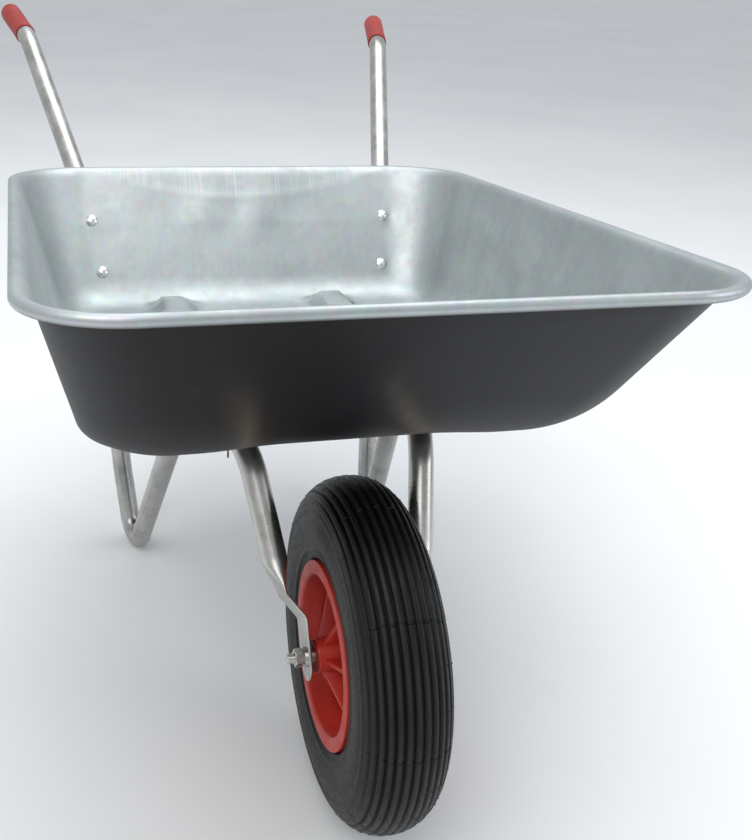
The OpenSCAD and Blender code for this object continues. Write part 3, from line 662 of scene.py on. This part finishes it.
def stadium(a, b, n=56):
    """Outline of half thickness a and half width b, evenly spaced along its length."""
    straight, arc = 2 * (b - a), math.pi * a
    total = 2 * straight + 2 * arc
    out = []
    for i in range(n):
        t = (i + 0.5) / n * total
        t = (t + arc / 2) % total
        if t < arc:
            g = t / a
            out.append((a * math.cos(g), (b - a) + a * math.sin(g)))
        elif t < arc + straight:
            out.append((-a, (b - a) - (t - arc)))
        elif t < 2 * arc + straight:
            g = math.pi + (t - arc - straight) / a
            out.append((a * math.cos(g), -(b - a) + a * math.sin(g)))
        else:
            out.append((a, -(b - a) + (t - 2 * arc - straight)))
    return np.array(out)


def sweep(name, path, width_dir, sizes, mat, n=56):
    """Tube along path. width_dir gives each point's width direction, sizes its (half thickness, half width)."""
    tang = unit(np.gradient(path, axis=0))
    dist = np.concatenate([[0], np.cumsum(np.linalg.norm(np.diff(path, axis=0), axis=1))])
    verts, uv = [], []
    for i, p in enumerate(path):
        w = unit(width_dir[i] - (width_dir[i] @ tang[i]) * tang[i])
        nn = np.cross(w, tang[i])
        sec = stadium(*sizes[i], n)
        verts.append(p + sec[:, :1] * nn + sec[:, 1:] * w)
        uv.append(np.column_stack([np.arange(n) / n, np.full(n, dist[i] / 1000)]))
    verts = np.vstack(verts)
    uv = np.vstack(uv)
    faces = []
    m = len(path)
    for i in range(m - 1):
        for j in range(n):
            k = (j + 1) % n
            faces.append((i * n + j, i * n + k, (i + 1) * n + k, (i + 1) * n + j))
    faces.append(tuple(range(n))[::-1])
    faces.append(tuple((m - 1) * n + j for j in range(n)))
    o = mesh_object(name, verts, faces, [mat], uv=uv)
    return outward(o)


def flat_half_width(a):
    return a + (2 * math.pi * TR - 2 * math.pi * a) / 4


FLAT_A = 1.6


def mirrored(p, s):
    return np.asarray(p) * [s, 1, 1]


def tip_sizes(dist_from_tip, a, b):
    r = 22.6
    if dist_from_tip < r:
        b = min(b, math.sqrt(max(r * r - (r - dist_from_tip) ** 2, 0)) )
        b = max(b, a + 0.3)
    return b


def tube_section(k):
    """k is 0 where the tube is flat and 1 where it is round."""
    a = FLAT_A + (TR - FLAT_A) * k
    return a, flat_half_width(a)


for side, label in ((1, "left"), (-1, "right")):
    # frame tube: from the axle end up and back to the grip
    corner72 = fork_at(72, fork_x_at(72) - 1)
    pts = [fork_at(-27, 62.0), fork_at(44, 62.0), corner72, fork_top, rear_low, knee, grip_corner, grip_end - grip_dir * GRIP_CAP]
    path = filleted(pts, [0, 12, 12, 75, 55, 100, 90, 0], step=9, turn=3.0)
    # more points where the tube is pressed flat
    s_of = (path[:, 1] * rise[0] + (path[:, 2] - WHEEL_R) * rise[1])
    dense = [path[0]]
    for i in range(1, len(path)):
        if s_of[i] < 150 and path[i][1] < 140:
            gap = np.linalg.norm(path[i] - dense[-1])
            m = int(gap / 2.2)
            q = dense[-1]
            for k in range(1, m):
                dense.append(q + (path[i] - q) * k / m)
        dense.append(path[i])
    path = np.array(dense)
    start = fork_at(-27, 62.0)
    extra = [start + (path[1] - start) * t for t in (0.02, 0.08, 0.2, 0.4, 0.7)]
    path = np.vstack([path[:1], extra, path[1:]])
    sizes, wd_ = [], []
    along = np.concatenate([[0], np.cumsum(np.linalg.norm(np.diff(path, axis=0), axis=1))])
    for i, p in enumerate(path):
        s = p[1] * rise[0] + (p[2] - WHEEL_R) * rise[1]
        k = float(smooth((s - 73) / 42)) if p[1] < 141 else 1.0
        a, b = tube_section(k)
        b = tip_sizes(along[i], a, b) if k < 0.01 else b
        sizes.append((a, b))
    tang = unit(np.gradient(path, axis=0))
    ref = unit(np.cross(tang, np.array([1.0, 0, 0])))
    path_s = mirrored(path, side)
    width = mirrored(ref, side)
    tube = sweep("frame_tube_" + label + "_drawn", path_s, width, sizes, M_TUBE)
    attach(tube, "frame")
    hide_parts("frame_tube_" + label)

    # leg loop
    uy = math.hypot(0.2137, 1)

    def uvp(y, z):
        return np.array([(y - 142) * uy, z])

    def uv3(q):
        y = 142 + q[0] / uy
        return np.array([plan_x(y), y, q[1]])

    def under(y):
        k = np.array([y, axis_z(y)]) + fout * LEG_OFF
        return uvp(*k)

    def behind(s):
        k = on_wall(s) + wout * (OFF + LEG_OFF)
        return uvp(*k)

    f_tip, f_bend = under(205 - 22), under(340)
    r_tip, r_bend = behind(LOW_S + 22), behind(LOW_S - 22)
    elbow = uvp(640, 110)
    fc = uvp(578, 34 + TR)

    def tangent(p, c, r, sd):
        v = c - p
        l = float(np.linalg.norm(v))
        g = math.asin(r / l) * sd
        d = v / l
        return np.array([d[0] * math.cos(g) - d[1] * math.sin(g), d[0] * math.sin(g) + d[1] * math.cos(g)])

    foot_corner = meet(f_bend, tangent(f_bend, fc, 34, -1), elbow, tangent(elbow, fc, 34, 1))
    rx = wall_x(LOW_S)

    def rear3(q):
        return np.array([rx, 142 + q[0] / uy, q[1]])

    pts = [uv3(f_tip), uv3(f_bend), uv3(foot_corner), uv3(elbow), rear3(r_bend), rear3(r_tip)]
    path = filleted(pts, [0, 16, 34, 90, 16, 0], step=6, turn=4.0)
    dist_f = np.linalg.norm(path - pts[1], axis=1)
    dist_r = np.linalg.norm(path - pts[4], axis=1)
    # extra rings at both tips
    e0 = [path[0] + (path[1] - path[0]) * t for t in (0.04, 0.15, 0.35, 0.65)]
    e1 = [path[-1] + (path[-2] - path[-1]) * t for t in (0.65, 0.35, 0.15, 0.04)]
    path = np.vstack([path[:1], e0, path[1:-1], e1, path[-1:]])
    along = np.concatenate([[0], np.cumsum(np.linalg.norm(np.diff(path, axis=0), axis=1))])
    total = along[-1]
    i_f = int(np.argmin(np.linalg.norm(path - pts[1], axis=1)))
    i_r = int(np.argmin(np.linalg.norm(path - pts[4], axis=1)))
    sizes, width = [], []
    side_w = np.array([1.0, -0.2137, 0]) / uy
    for i, p in enumerate(path):
        kf = float(smooth((along[i] - along[i_f] - 12) / 52))
        kr = float(smooth((along[i_r] - along[i] - 12) / 50))
        k = min(kf, kr)
        a, b = tube_section(k)
        if k < 0.01:
            b = tip_sizes(along[i], a, b)
            b = tip_sizes(total - along[i], a, b)
        sizes.append((a, b))
        t = float(smooth(along[i] / total))
        width.append(unit(side_w * (1 - t) + np.array([1.0, 0, 0]) * t))
    leg = sweep("leg_" + label + "_bent_tube", mirrored(path, side), mirrored(np.array(width), side), sizes, M_LEG_PAINTED_SHADE)
    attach(leg, "frame")
    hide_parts("leg_" + label)

    # grip: rolled mouth, a slight waist, a domed closed end
    gd = mirrored(grip_dir, side)
    g0 = mirrored(grip_end - grip_dir * GRIP_LEN, side)
    gx = unit(np.cross(gd, [0, 0, 1.0]))
    gy = np.cross(gd, gx)
    prof = [(15.25, 2.2), (15.3, 0.4), (15.9, 0.0), (16.6, 0.25), (16.95, 1.0), (17.0, 2.2), (17.0, 4.2), (16.75, 5.2), (16.55, 6.4), (16.6, 8.0)]
    for z in np.linspace(12, GRIP_LEN - END_R, 34):
        prof.append((16.75 + 0.25 * float(smooth((z - 20) / 70)), z))
    for g in np.linspace(0, 90, 14)[1:]:
        prof.append((GRIP_R - END_R + END_R * math.cos(math.radians(g)), GRIP_LEN - END_R + END_R * math.sin(math.radians(g))))
    prof += [(3.6, GRIP_LEN - 0.02), (2.2, GRIP_LEN - 0.5), (0.8, GRIP_LEN - 0.62)]
    n = 72
    verts, faces, uv = [], [], []
    for (r, z) in prof:
        for j in range(n):
            g = 2 * math.pi * j / n
            # two faint mould lines along the grip
            rr = r + (0.18 * math.exp(-((math.sin(g) / 0.05) ** 2)) if 8 < z < GRIP_LEN - 6 else 0)
            rr = min(rr, GRIP_R)
            verts.append(g0 + gd * z + (gx * math.cos(g) + gy * math.sin(g)) * rr)
            uv.append((j / n, z / 1000))
    m = len(prof)
    for i in range(m - 1):
        for j in range(n):
            k = (j + 1) % n
            faces.append((i * n + j, i * n + k, (i + 1) * n + k, (i + 1) * n + j))
    faces.append(tuple((m - 1) * n + j for j in range(n)))
    # inner wall of the mouth, down to the tube
    base = len(verts)
    for j in range(n):
        g = 2 * math.pi * j / n
        verts.append(g0 + gd * 9 + (gx * math.cos(g) + gy * math.sin(g)) * 15.08)
        uv.append((j / n, 0.009))
    for j in range(n):
        k = (j + 1) % n
        faces.append((base + j, base + k, k, j))
    faces.append(tuple(base + j for j in range(n))[::-1])
    grip = outward(mesh_object("grip_" + label + "_moulded", verts, faces, [M_GRIP], uv=uv))
    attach(grip, "frame")
    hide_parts("grip_" + label)


# ------------------------------------------------------------------ turned parts on the axle
def on_axle(pts):
    """Local (x, y, z) with z along the axle, onto the wheel's place."""
    p = np.asarray(pts, float)
    return np.column_stack([p[:, 2], p[:, 1], WHEEL_R - p[:, 0]])


def revolve(name, prof, mats, angles, bump=None, attrs_fn=None, closed=True):
    """prof is a closed outline of (radius, x). bump(t_index, angle) returns a radial move."""
    m, n = len(prof), len(angles)
    prof = np.array(prof)
    verts = np.zeros((n, m, 3))
    for i, g in enumerate(angles):
        r = prof[:, 0].copy()
        if bump is not None:
            r = r + bump(g)
        verts[i, :, 0] = r * math.cos(g)
        verts[i, :, 1] = r * math.sin(g)
        verts[i, :, 2] = prof[:, 1]
    faces = []
    for i in range(n):
        i2 = (i + 1) % n
        for j in range(m if closed else m - 1):
            j2 = (j + 1) % m
            faces.append((i * m + j, i * m + j2, i2 * m + j2, i2 * m + j))
    attrs = {k: np.tile(v, n) for k, v in (attrs_fn or {}).items()}
    return outward(mesh_object(name, on_axle(verts.reshape(-1, 3)), faces, mats, attrs=attrs))


def rounded_outline(pts, radii, n=4):
    out = []
    m = len(pts)
    for i in range(m):
        a, b, c = (np.array(pts[(i + k) % m], float) for k in (-1, 0, 1))
        r = radii[i]
        if r <= 0:
            out.append(b)
            continue
        u, v = unit(a - b), unit(c - b)
        phi = math.acos(max(-1, min(1, float(u @ v))))
        t = min(r / math.tan(phi / 2), 0.48 * np.linalg.norm(a - b), 0.48 * np.linalg.norm(c - b))
        s, e = b + u * t, b + v * t
        for k in range(n + 1):
            w = k / n
            out.append((1 - w) ** 2 * s + 2 * w * (1 - w) * b + w * w * e)
    return out


# tyre: ribbed tread, mould lines across it, vent nibs, ridges beside the rim
HW, WIDE = 48.5, 158.0
crown = []
for i in range(1801):
    a = math.radians(i * 180 / 1800)
    crown.append((WIDE + 42 * math.sin(a) if 0 < a < math.pi else WIDE, HW * math.copysign(abs(math.cos(a)) ** 0.95, math.cos(a))))
crown = np.array(crown)
arc = np.concatenate([[0], np.cumsum(np.linalg.norm(np.diff(crown, axis=0), axis=1))])
mid = arc[-1] / 2
fine_t = []
t = 0.0
while t < arc[-1]:
    fine_t.append(t)
    t += 0.75 if abs(t - mid) < 58 else 1.5
fine_t.append(arc[-1])
cr = np.column_stack([np.interp(fine_t, arc, crown[:, 0]), np.interp(fine_t, arc, crown[:, 1])])
tt = np.array(fine_t) - mid
nrm = np.gradient(cr, axis=0)
nrm = unit(np.column_stack([-nrm[:, 1], nrm[:, 0]]))
nrm = nrm * np.where(np.sum(nrm * (cr - [150, 0]), 1) < 0, -1, 1)[:, None]
PITCH = 9.4
near = np.abs((tt / PITCH) - np.round(tt / PITCH - 0.5) - 0.5) * PITCH
# ribs are widest in the middle; the outer ones fade into fine lines on the shoulder
edge = smooth((np.abs(tt) - 40) / 16)
far = smooth((np.abs(tt) - 82) / 6)
depth = (2.6 * (1 - edge) + 0.75 * edge) * (1 - far)
width_g = 1.25 * (1 - edge) + 0.8 * edge
groove = depth * np.exp(-((near / width_g) ** 2)) + (1 - edge) * 0.75 * (1 - np.clip(near / (PITCH / 2), 0, 1)) ** 1.6
groove += 0.10
cr2 = cr - nrm * groove[:, None]
# tread ridge tops: mask for the painted highlight in the rubber colour
rib_att = np.clip((near / (PITCH / 2) - 0.45) * 2.2, 0, 1) * (1 - far) * (1 - 0.6 * edge)
FLR, FLX, SEAT = 107.0, 46.0, 100.0
lower = [(FLR + 33, HW - 0.5), (FLR + 26, HW - 1.3), (FLR + 18, HW - 2.2), (FLR + 14, HW - 2.7), (FLR + 12.6, HW - 2.0), (FLR + 11, HW - 2.1), (FLR + 9.8, HW - 3.6),
         (FLR + 8, HW - 4.6), (FLR + 4, FLX - 3.2), (FLR + 1.6, FLX - 4.2), (FLR + 0.6, FLX - 6.8), (SEAT + 5.7, FLX - 8.9), (SEAT + 0.3, FLX - 8.9), (SEAT + 0.3, FLX - 19)]
right = [(r, x) for r, x in lower]
left = [(r, -x) for r, x in lower]
# inner wall kept simple, it is never seen
inner_wall = [(SEAT + 9, -(FLX - 17)), (FLR + 18, -(HW - 8)), (WIDE, -(HW - 6)), (WIDE + 24, -28), (WHEEL_R - 9, 0), (WIDE + 24, 28), (WIDE, HW - 6), (FLR + 18, HW - 8), (SEAT + 9, FLX - 17)]
prof = [tuple(q) for q in cr2] + [(r, -x) for r, x in lower] + inner_wall + [(r, x) for r, x in lower[::-1]]
att = np.concatenate([rib_att, np.zeros(len(prof) - len(rib_att))])
LINES = [math.radians(5.5 + 40 * k) for k in range(9)]


def tread_angle(deg_up_from_front):
    """Returns the given degrees above the ground-level front unchanged."""
    return deg_up_from_front


base_angles = list(np.linspace(0, 2 * math.pi, 252, endpoint=False))


def place(phi):
    # world direction (y, z) = (-cos phi, sin phi); local x = -(z), y = y
    return math.atan2(-math.cos(phi), -math.sin(phi)) % (2 * math.pi)


line_g = sorted(place(p) for p in LINES)
extra_g = []
for g in line_g:
    for d in (-1.0, -0.62, -0.42, -0.25, 0, 0.25, 0.42, 0.62, 1.0):
        extra_g.append((g + math.radians(d)) % (2 * math.pi))
angles = [g for g in base_angles if min(abs((g - q + math.pi) % (2 * math.pi) - math.pi) for q in line_g) > math.radians(1.15)]
angles = sorted(angles + extra_g)
rib_no = np.concatenate([np.round(tt / PITCH), np.zeros(len(prof) - len(tt))])
tread_w = np.concatenate([(1 - smooth((np.abs(tt) - 62) / 10)), np.zeros(len(prof) - len(tt))])


def tread_bump(g):
    d = np.degrees(min(((g - q + math.pi) % (2 * math.pi) - math.pi for q in line_g), key=abs))
    cut_ = 1.5 * math.exp(-((d / 0.36) ** 2))
    lip = 0.25 * math.exp(-(((abs(d) - 0.8) / 0.3) ** 2))
    alt = np.where(rib_no % 2 == 0, 1.0, 0.45)
    return (-cut_ * alt + lip * 0.0) * tread_w + 0.05 * tread_w * math.sin(7 * g + 1.3)


tyre = revolve("tyre_ribbed", prof, [M_TYRE], angles, bump=tread_bump, attrs_fn={"rib": att})
# vent nibs in rows between the mould lines
nv, nf = [], []
for L in LINES:
    for row, off in enumerate((-13.5, -27.0)):
        for k in range(-6, 7):
            if (k + row) % 2 and abs(k) > 4:
                continue
            t = k * PITCH + rng.uniform(-1.1, 1.1)
            if abs(t) > 60:
                continue
            i = int(np.argmin(np.abs(tt - t)))
            g = place(L + math.radians(off + rng.uniform(-0.5, 0.5)))
            r, x = cr2[i]
            nr_, nx = nrm[i]
            c = np.array([r * math.cos(g), r * math.sin(g), x])
            nn = np.array([nr_ * math.cos(g), nr_ * math.sin(g), nx])
            e1 = unit(np.cross(nn, [0.3, 0.2, 0.9]))
            e2 = np.cross(nn, e1)
            b0 = len(nv)
            hgt = min(0.85, (WHEEL_R - 0.05 - r) if abs(t) < 8 else 0.85)
            hgt = max(hgt, 0.15)
            for ring_r, ring_h in ((0.95, -0.6), (0.85, 0.3 * hgt), (0.5, 0.85 * hgt)):
                for q in range(8):
                    w = q * math.pi / 4
                    nv.append(c + nn * ring_h + (e1 * math.cos(w) + e2 * math.sin(w)) * ring_r)
            for ri in range(2):
                for q in range(8):
                    q2_ = (q + 1) % 8
                    nf.append((b0 + ri * 8 + q, b0 + ri * 8 + q2_, b0 + ri * 8 + 8 + q2_, b0 + ri * 8 + 8 + q))
            nf.append(tuple(b0 + 16 + q for q in range(8)))
            nf.append(tuple(b0 + q for q in range(8))[::-1])
# nibs take the full painted highlight colour
nibs = outward(mesh_object("nibs", on_axle(np.array(nv)), nf, [M_TYRE], attrs={"rib": np.full(len(nv), 1.0)}))
tyre = join_pieces("tyre_ribbed_rubber", [tyre, nibs])
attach(tyre, "wheel")
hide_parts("tyre")

# rim: one moulding, so barrel, web and hub are one outline turned round the axle
halfp = [(12, 25.9), (15.1, 25.9), (15.1, 51.4), (16.0, 52), (19.0, 52), (19.5, 50.5), (21.5, 3.0), (84.0, 3.0), (86.0, 22), (88.5, 33), (90.5, 44.0), (92.8, 46), (107, 46),
         (107, 38.5), (100, 37.5), (99, 26), (89, 14)]
rad = [0, 0, 0, 0.6, 0.9, 0.9, 9, 12, 4, 8, 3, 2.2, 1.6, 1.8, 2.0, 3, 3]
full_p = halfp + [(r, -x) for r, x in halfp[::-1]]
full_r = rad + rad[::-1]
rim = revolve("rim_turned", rounded_outline(full_p, full_r, 5), [M_RIM], list(np.linspace(0, 2 * math.pi, 168, endpoint=False)))
parts = [rim]
for i in range(6):
    for sgn in (1, -1):
        g = math.radians(60 * i + 15)
        outline = [(17.5, 1), (86.0, 1), (87.0, 21.5), (80, 23.5), (29, 41.5), (17.5, 46.5)]
        outline = rounded_outline(outline, [0, 0, 2, 5, 3, 0], 4)
        bm = bmesh.new()
        vs = []
        for zz in (-2.6, 2.6):
            vs.append([bm.verts.new((r * math.cos(g) - zz * math.sin(g), r * math.sin(g) + zz * math.cos(g), x * sgn)) for r, x in outline])
        m = len(outline)
        bm.faces.new(vs[0])
        bm.faces.new(vs[1][::-1])
        for j in range(m):
            bm.faces.new((vs[0][j], vs[1][j], vs[1][(j + 1) % m], vs[0][(j + 1) % m]))
        bmesh.ops.recalc_face_normals(bm, faces=bm.faces)
        crease = [e for e in bm.edges if len(e.link_faces) == 2 and e.calc_face_angle(0) > 0.9]
        bmesh.ops.bevel(bm, geom=crease, offset=1.2, segments=3, profile=0.5, affect="EDGES")
        me = bpy.data.meshes.new("g")
        bm.to_mesh(me)
        bm.free()
        co = np.array([v.co[:] for v in me.vertices])
        co = to_part(on_axle(co))
        me.vertices.foreach_set("co", co.astype(np.float32).ravel())
        me.polygons.foreach_set("use_smooth", np.ones(len(me.polygons), bool))
        me.update()
        o = bpy.data.objects.new("g", me)
        bpy.context.scene.collection.objects.link(o)
        parts.append(outward(o))
rim = join_pieces("rim_moulded", parts)
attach(rim, "wheel")
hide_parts("wheel_rim")


# axle stud and nut, hexagon with chamfered corners and a cut thread on the stud's end
def lathe_hex(name, x0, x1, af, chamfer_r, bore, mat, n=180):
    verts, faces = [], []
    h = x1 - x0
    levels = [0, 0.25, 0.6, 1.1, 1.8, h - 1.8, h - 1.1, h - 0.6, h - 0.25, h]
    for lv in levels:
        e = min(lv, h - lv)
        cone = chamfer_r + e * 1.75
        for j in range(n):
            g = 2 * math.pi * j / n
            c = math.cos((g + math.pi / 6) % (math.pi / 3) - math.pi / 6)
            r = min(af / 2 / c, cone)
            verts.append((r * math.cos(g), r * math.sin(g), x0 + lv))
    m = len(levels)
    for lv in (h, 0):
        for j in range(n):
            g = 2 * math.pi * j / n
            verts.append((bore * math.cos(g), bore * math.sin(g), x0 + lv))
    rings_ = list(range(m + 2))
    order = rings_ + [0]
    for a_, b_ in zip(order[:-1], order[1:]):
        for j in range(n):
            k = (j + 1) % n
            faces.append((a_ * n + j, a_ * n + k, b_ * n + k, b_ * n + j))
    return outward(mesh_object(name, on_axle(np.array(verts)), faces, [mat]))


STRIP_OUT = 63.6
nut = lathe_hex("axle_nut_chamfered", -STRIP_OUT - 2.5 - 10, -STRIP_OUT - 2.5, 19, 9.2, 5.6, M_ZINC)
for p in nut.data.polygons:
    p.use_smooth = False
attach(nut, "frame")
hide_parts("axle_nut")
head = lathe_hex("axle_head_chamfered", STRIP_OUT + 2.5, STRIP_OUT + 2.5 + 7.5, 19, 9.2, 0.4, M_ZINC)
for p in head.data.polygons:
    p.use_smooth = False
x_end = STRIP_OUT + 2.5 - 151
n, zs = 60, []
verts, faces = [], []
z = x_end
prof_z = [x_end + 0.25 * k for k in range(int(60 / 0.25))] + [x_end + 62, 0.0, STRIP_OUT + 2.6]
for zi in prof_z:
    for j in range(n):
        g = 2 * math.pi * j / n
        k = ((zi - x_end) / 1.75 + j / n) % 1.0
        dpt = 0.72 * (1 - abs(2 * k - 1)) if zi < x_end + 59 else 0
        r = 6.0 - dpt
        r = min(r, 4.7 + (zi - x_end) * 1.0)
        verts.append((r * math.cos(g), r * math.sin(g), zi))
m = len(prof_z)
for i in range(m - 1):
    for j in range(n):
        k = (j + 1) % n
        faces.append((i * n + j, i * n + k, (i + 1) * n + k, (i + 1) * n + j))
faces.append(tuple(range(n)))
faces.append(tuple((m - 1) * n + j for j in range(n)))
stud = outward(mesh_object("axle_stud_threaded", on_axle(np.array(verts)), faces, [M_ZINC]))
axle = join_pieces("axle_bolt_threaded", [stud, head])
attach(axle, "frame")
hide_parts("axle_bolt")

# ------------------------------------------------------------------ floor, light, camera
fm = Mat("floor_pale")
fn = fm.noise(1.4, 4, 0.5)
fm.base(fm.ramp(fn, [(0.3, (0.87, 0.875, 0.88)), (0.7, (0.92, 0.922, 0.925))]))
fm.rough(fm.grey(fn, 0.75, 0.9))
me = bpy.data.meshes.new("floor")
me.from_pydata([(-30, -30, -0.0005), (30, -30, -0.0005), (30, 30, -0.0005), (-30, 30, -0.0005)], [], [(0, 1, 2, 3)])
me.materials.append(fm.m)
floor = bpy.data.objects.new("floor", me)
bpy.context.scene.collection.objects.link(floor)

world = bpy.data.worlds.new("studio")
bpy.context.scene.world = world
world.use_nodes = True
bg = next(n for n in world.node_tree.nodes if n.type == "BACKGROUND")
bg.inputs["Color"].default_value = (0.80, 0.84, 0.88, 1)
bg.inputs["Strength"].default_value = 0.68


def area(name, loc, target, size, power, color=(1, 1, 1), size_y=None):
    ld = bpy.data.lights.new(name, "AREA")
    ld.energy = power
    ld.color = color
    ld.size = size
    if size_y:
        ld.shape = "RECTANGLE"
        ld.size_y = size_y
    o = bpy.data.objects.new(name, ld)
    bpy.context.scene.collection.objects.link(o)
    o.location = loc
    o.rotation_mode = "QUATERNION"
    o.rotation_quaternion = (Vector(target) - Vector(loc)).to_track_quat("-Z", "Y")
    return o


area("key", (-1.3, -1.5, 3.0), (0, 0, 0.4), 2.6, 50, (1.0, 0.985, 0.96))
area("ceiling", (0.5, 0.7, 3.3), (0, 0.1, 0.3), 3.4, 56, (0.95, 0.98, 1.0), 2.2)
area("fill", (2.6, -1.4, 1.6), (0, 0, 0.35), 1.4, 16, (0.95, 0.97, 1.0))

C = np.array([-320.671, -894.222, 950.290])
yaw, pitch, roll, FPX, PX, PY = 0.281968, 0.480276, 0.059157, 1044.603, 319.149, 447.428
fwd = np.array([math.sin(yaw) * math.cos(pitch), math.cos(yaw) * math.cos(pitch), -math.sin(pitch)])
rgt = np.array([math.cos(yaw), -math.sin(yaw), 0])
upv = np.cross(rgt, fwd)
r2 = math.cos(roll) * rgt + math.sin(roll) * upv
u2 = -math.sin(roll) * rgt + math.cos(roll) * upv
cam_d = bpy.data.cameras.new("camera")
cam_d.sensor_fit = "AUTO"
cam_d.sensor_width = 36
cam_d.lens = FPX * 36 / 840
cam_d.shift_x = (376 - PX) / 840
cam_d.shift_y = (PY - 420) / 840
cam_d.clip_start = 0.02
cam_d.clip_end = 100
cam = bpy.data.objects.new("camera", cam_d)
bpy.context.scene.collection.objects.link(cam)
loc = to_part(C)
cam.matrix_world = Matrix(((r2[0], u2[0], -fwd[0], loc[0]), (r2[1], u2[1], -fwd[1], loc[1]), (r2[2], u2[2], -fwd[2], loc[2]), (0, 0, 0, 1)))
bpy.context.scene.camera = cam
bpy.context.scene.view_settings.view_transform = "Standard"
